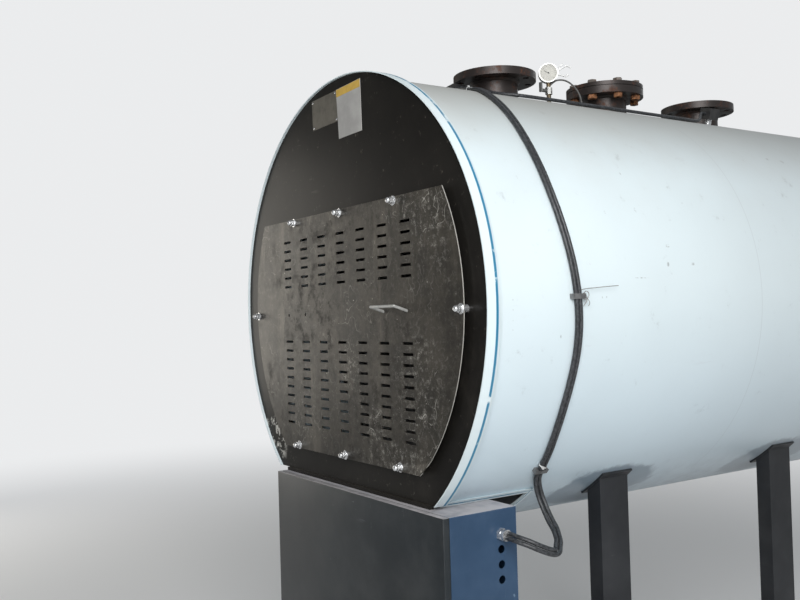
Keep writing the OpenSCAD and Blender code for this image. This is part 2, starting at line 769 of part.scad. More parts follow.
// Tube with eight flats along a path
module cable(path, shell_end) {
    flats = 8;
    rings = len(path);
    points = [for (i = [0 : rings - 1])
        let (s = side_of(path, i, shell_end), n = cross(s, tangent(path, i)))
        for (j = [0 : flats - 1])
            path[i] + cable_r * (cos(j * 360 / flats) * s + sin(j * 360 / flats) * n)];
    faces = concat(
        [[for (j = [0 : flats - 1]) j]],
        [[for (j = [flats - 1 : -1 : 0]) (rings - 1) * flats + j]],
        [for (i = [0 : rings - 2], j = [0 : flats - 1])
            [i * flats + j, (i + 1) * flats + j, (i + 1) * flats + (j + 1) % flats,
                i * flats + (j + 1) % flats]]);
    polyhedron(points = points, faces = faces, convexity = 10);
}

module drop_cable(d)
    color("black") on_axis() cable(shifted(drop_route, d, drop_shell_end), drop_shell_end);

module ridge_cable() color("black") on_axis() cable(ridge_path, len(ridge_path));
module drop_cable_1() drop_cable(cable_pitch / 2);
module drop_cable_2() drop_cable(-cable_pitch / 2);

module cable_gland()
    color("gainsboro") on_axis() translate([cabinet_right, entry_y, entry_z]) rotate([0, 90, 0]) {
        translate([0, 0, -sheet_t]) cylinder(r = entry_r - hole_clearance, h = sheet_t, $fn = small_fn);
        cylinder(r = gland_r, h = gland_len / 2, $fn = 6);
        translate([0, 0, gland_len / 2]) cylinder(r = gland_r - 2, h = gland_len / 2, $fn = small_fn);
    }

// A bridge over the cable pair, its feet on the cladding
module clip(p) {
    inner_w = cable_pitch + 2 * cable_r + 1;
    inner_h = cable_lift + cable_r + 0.5;
    intersection() {
        difference() {
            at_shell(p)
                translate([-clip_w / 2, -inner_w / 2 - clip_foot, -clip_t])
                    cube([clip_w, inner_w + 2 * clip_foot, inner_h + 3 * clip_t]);
            at_shell(p)
                translate([-clip_w, -inner_w / 2, -inner_h])
                    cube([2 * clip_w, inner_w, 2 * inner_h]);
            bar_y(cladding_r, 0, body_len);
        }
        bar_y(cladding_r + inner_h + clip_t, 0, body_len);
    }
}

module cable_clips()
    color("dimgray") on_axis() {
        clip([0.5, 307.5]);
        clip([-42, 320]);
    }

vessel_upper_shell();
vessel_lower_shell();
vessel_front_head();
vessel_rear_head();
heaters();
insulation();
closing_plate();
cladding_left_sheet();
cladding_right_sheet();
chamber_hood();
front_band();
front_plate();
rear_band();
rear_plate();
cut_edge_trim();
front_sill();
terminal_cover();
cover_studs();
pull_handle();
cabinet_top();
cabinet_left_side();
cabinet_right_side();
cabinet_back();
cabinet_base();
cabinet_door();
front_left_leg();
front_right_leg();
rear_left_leg();
rear_right_leg();
foot_plates();
wear_plates();
nozzle_necks();
nozzle_flanges();
blind_flange();
blind_flange_gasket();
blind_flange_bolts();
gauge_case();
gauge_stem();
gauge_cock();
sensor_pockets();
sensor_heads();
ridge_cable();
drop_cable_1();
drop_cable_2();
cable_gland();
cable_clips();
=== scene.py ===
import math

import bmesh
import bpy
from mathutils import Matrix, Vector


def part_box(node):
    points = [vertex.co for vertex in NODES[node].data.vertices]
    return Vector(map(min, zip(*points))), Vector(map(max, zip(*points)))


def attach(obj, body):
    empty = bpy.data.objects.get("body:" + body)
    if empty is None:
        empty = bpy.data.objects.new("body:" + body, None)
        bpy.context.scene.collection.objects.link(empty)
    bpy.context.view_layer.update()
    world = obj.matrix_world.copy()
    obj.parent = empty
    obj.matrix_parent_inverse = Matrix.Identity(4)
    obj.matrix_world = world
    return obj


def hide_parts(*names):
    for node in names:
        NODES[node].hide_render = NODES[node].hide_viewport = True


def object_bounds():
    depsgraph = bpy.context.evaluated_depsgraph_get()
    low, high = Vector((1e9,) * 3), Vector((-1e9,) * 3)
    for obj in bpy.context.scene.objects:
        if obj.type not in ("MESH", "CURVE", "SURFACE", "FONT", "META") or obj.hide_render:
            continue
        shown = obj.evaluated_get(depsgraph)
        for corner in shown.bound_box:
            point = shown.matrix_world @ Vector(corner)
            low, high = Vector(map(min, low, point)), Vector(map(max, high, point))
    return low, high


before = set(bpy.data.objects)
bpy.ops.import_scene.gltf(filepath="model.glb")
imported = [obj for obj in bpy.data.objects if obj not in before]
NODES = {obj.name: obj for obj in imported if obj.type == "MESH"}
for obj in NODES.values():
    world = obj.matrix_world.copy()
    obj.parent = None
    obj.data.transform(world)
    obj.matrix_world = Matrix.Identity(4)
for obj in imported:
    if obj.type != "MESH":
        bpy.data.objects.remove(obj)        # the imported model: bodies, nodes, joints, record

bl_info = {
    "name": "Industrial Boiler",
    "version": (1, 0, 0),
    "blender": (4, 5, 0),
    "location": "View3D > Sidebar > Boiler",
    "description": "Dresses the packed boiler with its sheet metal, paint, fittings and cables",
    "category": "Object",
}

CAD_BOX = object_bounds()
MM = 0.001

# The boiler's own frame: its axis, where the front band starts
BAND_LOW, BAND_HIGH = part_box("rear_band")
FRONT_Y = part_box("front_band")[0][1]
AXIS_H = (BAND_LOW[2] + BAND_HIGH[2]) / 2

# Sizes in millimetres, turns in degrees. Those of the CAD part are as in its source
CLADDING_R = 695
REAR_CUT_Y = 360
PLATE_FACE = 8
COVER_FACE = -10
COVER_X = 14
COVER_R = 614
COVER_TOP = 300
COVER_BOTTOM = 460
STUD_PITCH = 305
STUD_INSET = 11
STUD_R = 6
STUD_SLEEVE = 15
WASHER_R = 14
WASHER_T = 2
CAP_LEN = 24
CAP_R = 8.4
NUT_R = 10.5
NUT_H = 12
HANDLE_DROP = 18
NOZZLE_H = 790
MAIN_NOZZLES = (632, 1704)
MIDDLE_NOZZLE = 1168
NECK_R = 79.5
FLANGE_T = 26
BLIND_T = 14
GASKET_T = 2
BOLT_PCD_R = 120
BOLT_R = 10
BOLT_NUT_R = 17
BOLT_NUT_H = 16
BOLT_PITCH = 2.5
BOLT_COUNT = 8
BOLT_HEAD_H = 12.5
GAUGE_Y = 884
GAUGE_H = 832
GAUGE_R = 35
GAUGE_T = 26
GAUGE_TURN = 52
DIAL_MARKS = 28
DIAL_START = 225
DIAL_STEP = 10
NEEDLE_TURN = 150
TAPE_R = 3
CABLE_R = 6
CABLE_PITCH = 12.6
CABLE_LIFT = CABLE_R + 1.5

# Sensor places: angle round the axis from +X, and distance behind the front band
FRONT_SENSOR = (94.5, 505)
REAR_SENSOR = (76, 1550)
SENSOR_W = 48
SENSOR_L = 52
EXIT_H = 41
PAIR_EXIT_Y = -11
RIDGE_EXIT_Y = 13
EXIT_STRAIGHT = 16

# Middle of the cable pair: angle, distance behind the front band, extra height
DROP_ON_SHELL = (
    (89, 493, 28), (86, 484, 16), (83, 466, 7), (80, 442, 2), (77, 418, 0),
    (73, 391, 0), (69, 366, 0), (65, 346, 0), (60, 328, 0), (54, 313, 0),
    (48, 300, 0), (42, 289, 0), (36, 282, 0), (30, 279, 0), (24, 279, 0),
    (18, 284, 0), (12, 292, 0), (6, 301, 0), (0, 308, 0), (-6, 312, 0),
    (-12, 311, 0), (-18, 306, 0), (-24, 303, 0), (-30, 305, 0), (-36, 312, 0),
    (-40.5, 318, 0), (-43, 322, 0))
DROP_LOOP = (
    (503, 325, -497), (498, 330, -520), (500, 335, -544), (509, 338, -568),
    (524, 337, -590), (542, 334, -609), (563, 329, -625), (583, 318, -637),
    (602, 305, -647), (619, 287, -655), (637, 268, -661), (651, 245, -658),
    (658, 218, -649), (653, 191, -637), (637, 169, -625), (615, 155, -618),
    (592, 150, -614))
GLAND_MOUTH = (576, 150, -614)
LOOP_FACING = (0.557, -0.663, 0.5)
RIDGE_ON_SHELL = (
    (88, 519, 26), (84.5, 522, 13), (81, 528, 4), (78.5, 541, 0), (76, 565, 0),
    (74.2, 605, 0), (73, 660, 0), (72.2, 720, 0), (71.5, 790, 0), (71, 870, 0),
    (70.8, 950, 0), (70.8, 1030, 0), (71, 1110, 0), (71, 1190, 0), (70.6, 1260, 0),
    (70.4, 1330, 0), (71, 1400, 0), (71.8, 1432, 4), (73.2, 1458, 12), (74.8, 1482, 22),
    (75.7, 1499, 31))
# The pair's straps: place along its path, and lean
TIES = ((3, 0.0), (27, 0.5))
TIE_W = 5
TIE_STEPS = 24
# The binding wire: its place on that path, then each span along the shell, out of it, round it
WIRE_PLACE = 20
WIRE_R = 0.9
WIRE_SPANS = (
    ((4, 6.4, 7), (12, 6, 13), (20, 5, 13), (28, 4, 2), (26, 2, -10), (18, 0, -20)),
    ((6, 6.4, 5), (18, 6, 4), (30, 5, -2), (38, 3, -12), (36, 0, -20)),
    ((10, 6.2, 8), (22, 6, 19), (34, 5, 13), (30, 5, 1), (18, 6, -3), (8, 6.4, 3)),
    ((4, 6.4, 22), (20, 6, 25), (60, 5.5, 28), (105, 5, 31), (146, 4.5, 33)))

# Tape ends and the thin tube at the gauge: distance from its axis towards ACROSS, then height
ACROSS = (0.548, 0.836, 0)
TAPE_ENDS = (
    ((30, 4), (44, 14), (58, 22), (70, 26), (82, 18)),
    ((34, 4), (40, 16), (44, 26), (54, 33)),
    ((32, -4), (50, -8), (64, -12), (72, -6)))
THIN_TUBE = ((6, -42), (30, -26), (62, -28), (90, -48), (110, -78), (119, -114), (121, -139))

# Corners of the plates on the end plate, and the data plate's rivets: across, up
DATA_PLATE = ((-174, 672), (-14, 674), (-5, 577), (-170, 576))
PALE_CARD = ((-12, 674), (133, 677), (136, 521), (-1, 520))
CARD_STRIP = ((-11, 673), (132, 676), (132.5, 652), (-9.5, 650))
PLATE_RIVETS = ((-167, 665), (-20, 667), (-13, 584), (-163, 583))

# The bent corner of the cover: the crease's ends, its width in metres, where it may begin
CREASE = ((318, -445), (478, -409))
CREASE_W = 0.012
CREASE_FROM_X = 300

# Small marks and scrapes on the cladding: angle, distance behind the front, half sizes
SHEET_MARKS = (
    (27.7, 187, 5, 4), (21, 593, 10, 5), (31.2, 596, 6, 5), (12.2, 690, 5, 13),
    (7.8, 677, 10, 7), (7.9, 785, 5, 10), (20, 468, 5, 4), (23.8, 811, 5, 4),
    (43.5, 1426, 10, 9), (42.8, 1504, 12, 12), (0.2, 404, 3, 3), (0.2, 421, 3, 3),
    (-8.1, 256, 6, 3), (0, 93, 2, 2), (-2, 93, 2, 2), (-4.2, 93, 2, 2), (-6.2, 93, 2, 2),
    (4.5, 559, 1, 36))
# Rubbed places on the cover: across, up, half width and half height in metres
RUBBED_PLACES = (
    (480, 215, 0.12, 0.12), (525, 150, 0.06, 0.1), (390, 250, 0.05, 0.08),
    (420, -230, 0.16, 0.22), (60, -170, 0.09, 0.1), (200, -340, 0.1, 0.1),
    (-250, -350, 0.12, 0.1), (300, -420, 0.28, 0.06))
# On the cladding: the legs' places and angle, and the seam
LEG_PLACES = (687, 1525)
LEG_ANGLE = -57
SEAM_Y = 1097
# The film line on the edge strip, in metres: height from the axis, half width, and with its soft edge
TRIM_LINE_H = -0.5415
TRIM_LINE = (0.0014, 0.0024)
# The pale ragged patch on the end plate's rim
RIM_PALE_PATCH = (-530, 8, -460)
# The floor's radius, and where it turns into the background, in metres
FLOOR_R = 60.0
FLOOR_FADE = (2.5, 9.0)

# The camera: focal length in millimetres, place in the boiler's own frame, turns in degrees
CAMERA_LENS = 40.49
CAMERA_PLACE = (2408, -1365, -34.6)
CAMERA_HEADING = 56.755
CAMERA_RISE = 1.084
CAMERA_ROLL = -1.660


def in_row(p):
    """A point of the boiler's own frame, in millimetres, as a point of the row in metres."""
    return Vector((p[0] * MM, FRONT_Y + p[1] * MM, AXIS_H + p[2] * MM))


def on_shell(angle, y, r):
    a = math.radians(angle)
    return Vector((r * math.cos(a), y, r * math.sin(a)))


def at_head(sensor, x, y, h):
    """A place in a sensor head's own frame: round the shell, along it, above the cladding."""
    a = math.radians(sensor[0])
    return on_shell(sensor[0], sensor[1], CLADDING_R + h) + Vector(
        (x * math.sin(a), y, -x * math.cos(a)))


# Mesh helpers, with sizes in millimetres

def linked(name, data):
    """A new object of the scene."""
    obj = bpy.data.objects.new(name, data)
    bpy.context.scene.collection.objects.link(obj)
    return obj


def mesh_of(name, bm):
    mesh = bpy.data.meshes.new(name)
    bm.to_mesh(mesh)
    bm.free()
    return mesh


def finish_piece(name, bm, material, sharp=32):
    """Writes the mesh at the origin, shades it, and lets it ride on the boiler."""
    for face in bm.faces:
        face.smooth = True
    limit = math.radians(sharp)
    for edge in bm.edges:
        if len(edge.link_faces) == 2:
            edge.smooth = edge.calc_face_angle(0.0) < limit
    obj = linked(name, mesh_of(name, bm))
    obj.data.materials.append(material)
    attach(obj, "root")
    return obj


def append_mesh(bm, part, matrix=None):
    """Moves another bmesh's geometry into bm, and to the matrix's place."""
    if matrix is not None:
        moved(part, matrix)
    mesh = mesh_of("part", part)
    bm.from_mesh(mesh)
    bpy.data.meshes.remove(mesh)


def bevel_edges(bm, edges, width, segments):
    bmesh.ops.bevel(bm, geom=edges, offset=width * MM, offset_type="OFFSET", affect="EDGES",
                    segments=segments, profile=0.5, material=-1, clamp_overlap=True)


def bevel_sharp(bm, width, segments=2, angle=30):
    """Rounds the edges that are sharper than the angle."""
    limit = math.radians(angle)
    edges = [e for e in bm.edges
             if len(e.link_faces) == 2 and e.calc_face_angle(0.0) > limit]
    bevel_edges(bm, edges, width, segments)


def lathe(profile, steps=48):
    """A closed solid of revolution round Z from (radius, height) pairs."""
    bm = bmesh.new()
    verts = [bm.verts.new((r * MM, 0, z * MM)) for r, z in profile]
    closed = profile[0][0] > 0 and profile[-1][0] > 0
    edges = [bm.edges.new((a, b)) for a, b in zip(verts, verts[1:])]
    if closed:
        edges.append(bm.edges.new((verts[-1], verts[0])))
    bmesh.ops.spin(bm, geom=verts + edges, cent=(0, 0, 0), axis=(0, 0, 1),
                   angle=math.tau, steps=steps, use_merge=True)
    bmesh.ops.remove_doubles(bm, verts=bm.verts, dist=1e-6)
    bmesh.ops.recalc_face_normals(bm, faces=bm.faces)
    return bm


def block(size, centre, bevel=0.0):
    """A box with rounded edges."""
    bm = bmesh.new()
    bmesh.ops.create_cube(bm, size=1.0)
    bmesh.ops.scale(bm, vec=[s * MM for s in size], verts=bm.verts)
    if bevel:
        bevel_sharp(bm, bevel)
    bmesh.ops.translate(bm, vec=[c * MM for c in centre], verts=bm.verts)
    return bm


def hex_nut(radius, height, chamfer):
    """A hexagon with chamfered faces, standing on z = 0."""
    bm = bmesh.new()
    bmesh.ops.create_cone(bm, cap_ends=True, segments=6, radius1=radius * MM,
                          radius2=radius * MM, depth=height * MM)
    bmesh.ops.translate(bm, vec=(0, 0, height * MM / 2), verts=bm.verts)
    rims = [e for e in bm.edges if abs(e.verts[0].co.z - e.verts[1].co.z) < 1e-6]
    bevel_edges(bm, rims, chamfer, 2)
    return bm


def thread_rod(radius, length, pitch, steps):
    """A rod with thread rings along Z from z = 0, its tip chamfered."""
    root = radius * 0.86
    profile = [(0, 0), (root, 0)]
    for i in range(int(length / pitch) - 1):
        for r, share in ((root, 0.1), (radius, 0.5), (root, 0.95)):
            profile.append((r, i * pitch + pitch * share))
    profile += [(root, length - pitch), (radius * 0.7, length), (0, length)]
    return lathe(profile, steps)


def moved(bm, matrix):
    bmesh.ops.transform(bm, matrix=matrix, verts=bm.verts)
    return bm


def basis(x_axis, y_axis, z_axis, origin):
    """A matrix from three axes and an origin."""
    m = Matrix.Identity(4)
    for i, axis in enumerate((x_axis, y_axis, z_axis)):
        for row in range(3):
            m[row][i] = axis[row]
    m.translation = origin
    return m


def facing(direction, origin):
    """Turns local +Z to the direction and moves to the origin."""
    return Matrix.Translation(origin) @ Vector(direction).to_track_quat("Z", "Y").to_matrix().to_4x4()


def node_copy(name):
    """A merged copy of a CAD node's triangles, with flat areas cleaned."""
    bm = bmesh.new()
    bm.from_mesh(NODES[name].data)
    bmesh.ops.remove_doubles(bm, verts=bm.verts, dist=1e-6)
    bmesh.ops.dissolve_limit(bm, angle_limit=math.radians(0.6), verts=bm.verts, edges=bm.edges)
    return bm


def smooth_line(points, per_span=4):
    """Points on a smooth curve through all of the given ones."""
    out = []
    count = len(points)
    for i in range(count - 1):
        p0 = points[max(i - 1, 0)]
        p1, p2 = points[i], points[i + 1]
        p3 = points[min(i + 2, count - 1)]
        for k in range(per_span):
            t = k / per_span
            out.append(0.5 * (2 * p1 + (p2 - p0) * t + (2 * p0 - 5 * p1 + 4 * p2 - p3) * t * t
                              + (3 * p1 - 3 * p2 + p3 - p0) * t ** 3))
    out.append(points[-1])
    return out


def tube_curve(name, points, radius, material, resolution=3):
    """A round tube along the points, as one open spline, in metres."""
    data = bpy.data.curves.new(name, "CURVE")
    data.dimensions = "3D"
    data.bevel_depth = radius
    data.bevel_resolution = resolution
    data.use_fill_caps = True
    spline = data.splines.new("POLY")
    spline.points.add(len(points) - 1)
    for point, p in zip(spline.points, points):
        point.co = (p[0], p[1], p[2], 1.0)
    spline.use_smooth = True
    obj = linked(name, data)
    data.materials.append(material)
    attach(obj, "root")
    return obj


# The cables' routes, as in the part's source

def tangent(path, i):
    return (path[min(i + 1, len(path) - 1)] - path[max(i - 1, 0)]).normalized()


def flat_on(path, i, shell_end):
    """What the pair lies flat on: the shell, then little by little the way its loop faces."""
    along = min(max(i - shell_end, 0) / (len(DROP_LOOP) - 1), 1)
    share = along * along * (3 - 2 * along)
    outward = Vector((path[i].x, 0, path[i].z)).normalized()
    return outward * (1 - share) + Vector(LOOP_FACING) * share


def side_of(path, i, shell_end):
    """Sideways direction of the pair at a place of its path."""
    return tangent(path, i).cross(flat_on(path, i, shell_end)).normalized()


def shifted(path, d, shell_end):
    """The path moved sideways, its end segments without a turn."""
    last = len(path) - 1
    out = []
    for i, p in enumerate(path):
        steady = 0 if i == 1 else last if i == last - 1 else i
        out.append(p + d * side_of(path, steady, shell_end))
    return out


DROP_SHELL_END = len(DROP_ON_SHELL) + 1


def drop_route():
    head = [at_head(FRONT_SENSOR, SENSOR_W / 2 + x, PAIR_EXIT_Y, EXIT_H)
            for x in (0, EXIT_STRAIGHT)]
    shell = [on_shell(a, y, CLADDING_R + CABLE_LIFT + h) for a, y, h in DROP_ON_SHELL]
    return head + shell + [Vector(p) for p in DROP_LOOP] + [Vector(GLAND_MOUTH)]


def ridge_route():
    head = [at_head(FRONT_SENSOR, SENSOR_W / 2 + x, RIDGE_EXIT_Y, EXIT_H)
            for x in (0, EXIT_STRAIGHT)]
    shell = [on_shell(a, y, CLADDING_R + CABLE_LIFT + h) for a, y, h in RIDGE_ON_SHELL]
    tail = [at_head(REAR_SENSOR, 0, y, EXIT_H) for y in (-SENSOR_L / 2 - 12, -SENSOR_L / 2)]
    return head + shell + tail


# Shared effects

def new_group(name, inputs, outputs):
    """An empty shader group. Each socket is (name, type, default)."""
    group = bpy.data.node_groups.new(name, "ShaderNodeTree")
    kinds = {"float": "NodeSocketFloat", "color": "NodeSocketColor", "vector": "NodeSocketVector"}
    for label, kind, default in inputs:
        socket = group.interface.new_socket(name=label, in_out="INPUT", socket_type=kinds[kind])
        if default is not None:
            socket.default_value = default
    for label, kind in outputs:
        group.interface.new_socket(name=label, in_out="OUTPUT", socket_type=kinds[kind])
    return group, group.nodes.new("NodeGroupInput"), group.nodes.new("NodeGroupOutput")


def feed(tree, socket, value):
    """Links an output to the socket, or sets its number, vector or colour."""
    if isinstance(value, bpy.types.NodeSocket):
        tree.links.new(value, socket)
    elif isinstance(value, (int, float)) or socket.type != "RGBA":
        socket.default_value = value
    else:
        socket.default_value = (*value[:3], 1.0)


def add_node(tree, kind, **inputs):
    """A new shader node, with inputs by their names."""
    node = tree.nodes.new("ShaderNode" + kind)
    for label, value in inputs.items():
        feed(tree, node.inputs[label], value)
    return node


def give(group, gout, **results):
    """Links each result to the group's output of its name."""
    for label, socket in results.items():
        group.links.new(socket, gout.inputs[label])


def math_node(tree, operation, a, b=None, clamp=False):
    node = add_node(tree, "Math")
    node.operation = operation
    node.use_clamp = clamp
    for socket, value in zip(node.inputs, (a, b)):
        if value is not None:
            feed(tree, socket, value)
    return node.outputs[0]


def times(tree, a, b, clamp=False):
    return math_node(tree, "MULTIPLY", a, b, clamp)


def largest(tree, *masks):
    """The largest of several masks at each place."""
    result = masks[0]
    for mask in masks[1:]:
        result = math_node(tree, "MAXIMUM", result, mask)
    return result


def part_of(tree, vector, axis):
    return add_node(tree, "SeparateXYZ", Vector=vector).outputs[axis]


def normal_part(tree, axis):
    """One part of the surface's direction."""
    return part_of(tree, add_node(tree, "NewGeometry").outputs["Normal"], axis)


def length_of(tree, vector):
    node = add_node(tree, "VectorMath")
    node.operation = "LENGTH"
    tree.links.new(vector, node.inputs[0])
    return node.outputs["Value"]


def camera_ray(tree):
    return add_node(tree, "LightPath").outputs["Is Camera Ray"]


def mix_shaders(tree, factor, a, b):
    node = add_node(tree, "MixShader", Fac=factor)
    tree.links.new(a.outputs[0], node.inputs[1])
    tree.links.new(b.outputs[0], node.inputs[2])
    return node.outputs[0]


def mix_color(tree, factor, a, b):
    node = add_node(tree, "Mix")
    node.data_type = "RGBA"
    for index, value in ((0, factor), (6, a), (7, b)):
        feed(tree, node.inputs[index], value)
    return node.outputs[2]


def map_range(tree, value, low, high, out_low=0.0, out_high=1.0, smooth=True):
    node = add_node(tree, "MapRange")
    node.interpolation_type = "SMOOTHSTEP" if smooth else "LINEAR"
    tree.links.new(value, node.inputs[0])
    for socket, number in zip(node.inputs[1:5], (low, high, out_low, out_high)):
        socket.default_value = number
    return node.outputs[0]


def thin_line(tree, value, level, inner, outer, strength=1.0):
    """Full where the value is within inner of the level, nothing beyond outer."""
    gap = math_node(tree, "ABSOLUTE", math_node(tree, "SUBTRACT", value, level))
    return map_range(tree, gap, inner, outer, strength, 0.0)


def noise(tree, vector, scale, detail=4.0, roughness=0.6, stretch=None):
    """Noise on the vector, which a Mapping node may stretch first."""
    if stretch is not None:
        vector = add_node(tree, "Mapping", Vector=vector, Scale=stretch).outputs[0]
    node = add_node(tree, "TexNoise", Detail=detail, Roughness=roughness, Vector=vector,
                    Scale=scale)
    return node.outputs["Fac"]


def dust_group():
    """Pale dust in soft patches, thicker on faces that look up."""
    group, gin, gout = new_group(
        "settled_dust",
        [("Color", "color", (0.5, 0.5, 0.5, 1)), ("Dust", "color", (0.5, 0.47, 0.42, 1)),
         ("Amount", "float", 0.3), ("Scale", "float", 6.0), ("Vector", "vector", None)],
        [("Color", "color"), ("Mask", "float")])
    patches = noise(group, gin.outputs["Vector"], gin.outputs["Scale"], 8.0, 0.65)
    patches = map_range(group, patches, 0.35, 0.75)
    up = map_range(group, normal_part(group, "Z"), 0.2, 0.95)
    total = math_node(group, "ADD", times(group, up, 1.4), 0.35)
    mask = times(group, patches, total)
    mask = times(group, mask, gin.outputs["Amount"], clamp=True)
    color = mix_color(group, mask, gin.outputs["Color"], gin.outputs["Dust"])
    give(group, gout, Color=color, Mask=mask)
    return group


def scuff_group():
    """Thin rubbed streaks and small chips."""
    group, gin, gout = new_group(
        "scuffs",
        [("Color", "color", (0.5, 0.5, 0.5, 1)), ("Scuff", "color", (0.7, 0.7, 0.7, 1)),
         ("Amount", "float", 0.5), ("Scale", "float", 9.0), ("Vector", "vector", None)],
        [("Color", "color"), ("Mask", "float")])
    vector = gin.outputs["Vector"]
    streaks = noise(group, vector, gin.outputs["Scale"], 6.0, 0.7, (1.0, 1.0, 7.0))
    streaks_2 = noise(group, vector, gin.outputs["Scale"], 6.0, 0.7, (6.0, 6.0, 1.2))
    streaks = largest(group, map_range(group, streaks, 0.63, 0.7),
                        map_range(group, streaks_2, 0.64, 0.72))
    chips = noise(group, vector, 55.0, 3.0, 0.5)
    chips = map_range(group, chips, 0.7, 0.74)
    places = map_range(group, noise(group, vector, 3.1, 3.0, 0.5), 0.5, 0.68)
    mask = times(group, largest(group, streaks, chips), places)
    mask = times(group, mask, gin.outputs["Amount"], clamp=True)
    color = mix_color(group, mask, gin.outputs["Color"], gin.outputs["Scuff"])
    give(group, gout, Color=color, Mask=mask)
    return group


def rust_group():
    """Brown rust that spreads from patches, with darker pits."""
    group, gin, gout = new_group(
        "rust",
        [("Color", "color", (0.2, 0.2, 0.2, 1)), ("Rust", "color", (0.25, 0.09, 0.035, 1)),
         ("Amount", "float", 0.5), ("Scale", "float", 14.0), ("Vector", "vector", None)],
        [("Color", "color"), ("Mask", "float"), ("Height", "float")])
    patches = noise(group, gin.outputs["Vector"], gin.outputs["Scale"], 9.0, 0.7)
    pits = noise(group, gin.outputs["Vector"], 160.0, 4.0, 0.6)
    lift = times(group, gin.outputs["Amount"], 0.5)
    level = math_node(group, "ADD", patches, lift)
    mask = map_range(group, level, 0.62, 0.86)
    tone = mix_color(group, map_range(group, pits, 0.35, 0.7), (0.06, 0.025, 0.015),
                     gin.outputs["Rust"])
    color = mix_color(group, mask, gin.outputs["Color"], tone)
    give(group, gout, Color=color, Mask=mask, Height=times(group, pits, mask))
    return group


def grain_group():
    """Fine unevenness of rolled or painted sheet, and slow dents of a large panel."""
    group, gin, gout = new_group(
        "sheet_grain",
        [("Fine", "float", 180.0), ("Slow", "float", 3.0), ("Slow Share", "float", 0.5),
         ("Vector", "vector", None)],
        [("Height", "float"), ("Tone", "float")])
    fine = noise(group, gin.outputs["Vector"], gin.outputs["Fine"], 3.0, 0.6)
    slow = noise(group, gin.outputs["Vector"], gin.outputs["Slow"], 2.0, 0.4)
    mixed = math_node(group, "ADD", times(group, fine, 0.06),
                      times(group, slow, gin.outputs["Slow Share"]))
    give(group, gout, Height=mixed, Tone=slow)
    return group


GROUPS = {}


def effect(material, key, color=None, **values):
    """Places a shared group in a material and returns its node."""
    makers = {"dust": dust_group, "scuffs": scuff_group, "rust": rust_group, "grain": grain_group}
    if key not in GROUPS:
        GROUPS[key] = makers[key]()
    tree = material.node_tree
    node = add_node(tree, "Group")
    node.node_tree = GROUPS[key]
    tree.links.new(tree.nodes["coords"].outputs["Object"], node.inputs["Vector"])
    if color is not None:
        values["color"] = color
    for label, value in values.items():
        feed(tree, node.inputs[label.replace("_", " ").title()], value)
    return node


def surface(tree, **inputs):
    """Feeds the inputs of a material's Principled shader, by their names."""
    shader = tree.nodes["Principled BSDF"]
    for label, value in inputs.items():
        feed(tree, shader.inputs[label.replace("_", " ")], value)


def new_material(name, roughness=0.5, metallic=0.0, specular=0.5):
    """A material with a Principled shader, its node tree and its Object coordinates."""
    material = bpy.data.materials.new(name)
    material.use_nodes = True
    tree = material.node_tree
    coords = add_node(tree, "TexCoord")
    coords.name = "coords"
    surface(tree, Roughness=roughness, Metallic=metallic, Specular_IOR_Level=specular)
    return material, tree, coords.outputs["Object"]


def set_color(material, socket):
    surface(material.node_tree, Base_Color=socket)


def set_roughness(material, mask, low, high):
    tree = material.node_tree
    surface(tree, Roughness=map_range(tree, mask, 0.0, 1.0, low, high, smooth=False))


def set_bump(material, height, strength, distance):
    tree = material.node_tree
    bump = add_node(tree, "Bump", Strength=strength, Distance=distance, Height=height)
    surface(tree, Normal=bump.outputs[0])


def set_grain(material, fine, slow, share, strength, distance):
    """Bumps of the shared sheet grain; returns its slow tone."""
    grain = effect(material, "grain", fine=fine, slow=slow, slow_share=share)
    set_bump(material, grain.outputs["Height"], strength, distance)
    return grain.outputs["Tone"]


def spot(tree, vector, centre, size, soft):
    """A soft ellipsoid mask round a place, in metres."""
    mapping = add_node(tree, "Mapping", Vector=vector, Scale=[1.0 / s for s in size],
                       Location=[-c / s for c, s in zip(centre, size)])
    return map_range(tree, length_of(tree, mapping.outputs[0]), 1.0, soft)


# Finishes

def cladding_material(name, settings):
    """Satin white sheet with faint smears and slow waves."""
    m, tree, vector = new_material(name, 0.32)
    waves = map_range(tree, set_grain(m, 240.0, 2.2, 1.0, 0.25, 0.004), 0.3, 0.7)
    tone = mix_color(tree, waves, settings.sheet_color,
                     [c * 0.94 for c in settings.sheet_color])
    smears = effect(m, "scuffs", tone, scuff=(0.55, 0.58, 0.6), amount=0.35, scale=5.0)
    dust = effect(m, "dust", smears.outputs["Color"], dust=(0.5, 0.48, 0.44),
                  amount=settings.dust, scale=4.0)
    # Marks and dirt of the sheet, with painted shade under the shell, on the lower half and towards
    # the rear
    set_color(m, sheet_dirt_and_shade(tree, vector, dust.outputs["Color"]))
    z = part_of(tree, vector, "Z")
    set_roughness(m, map_range(tree, z, AXIS_H + 0.35, AXIS_H + 0.62), 0.34, 0.85)
    return m


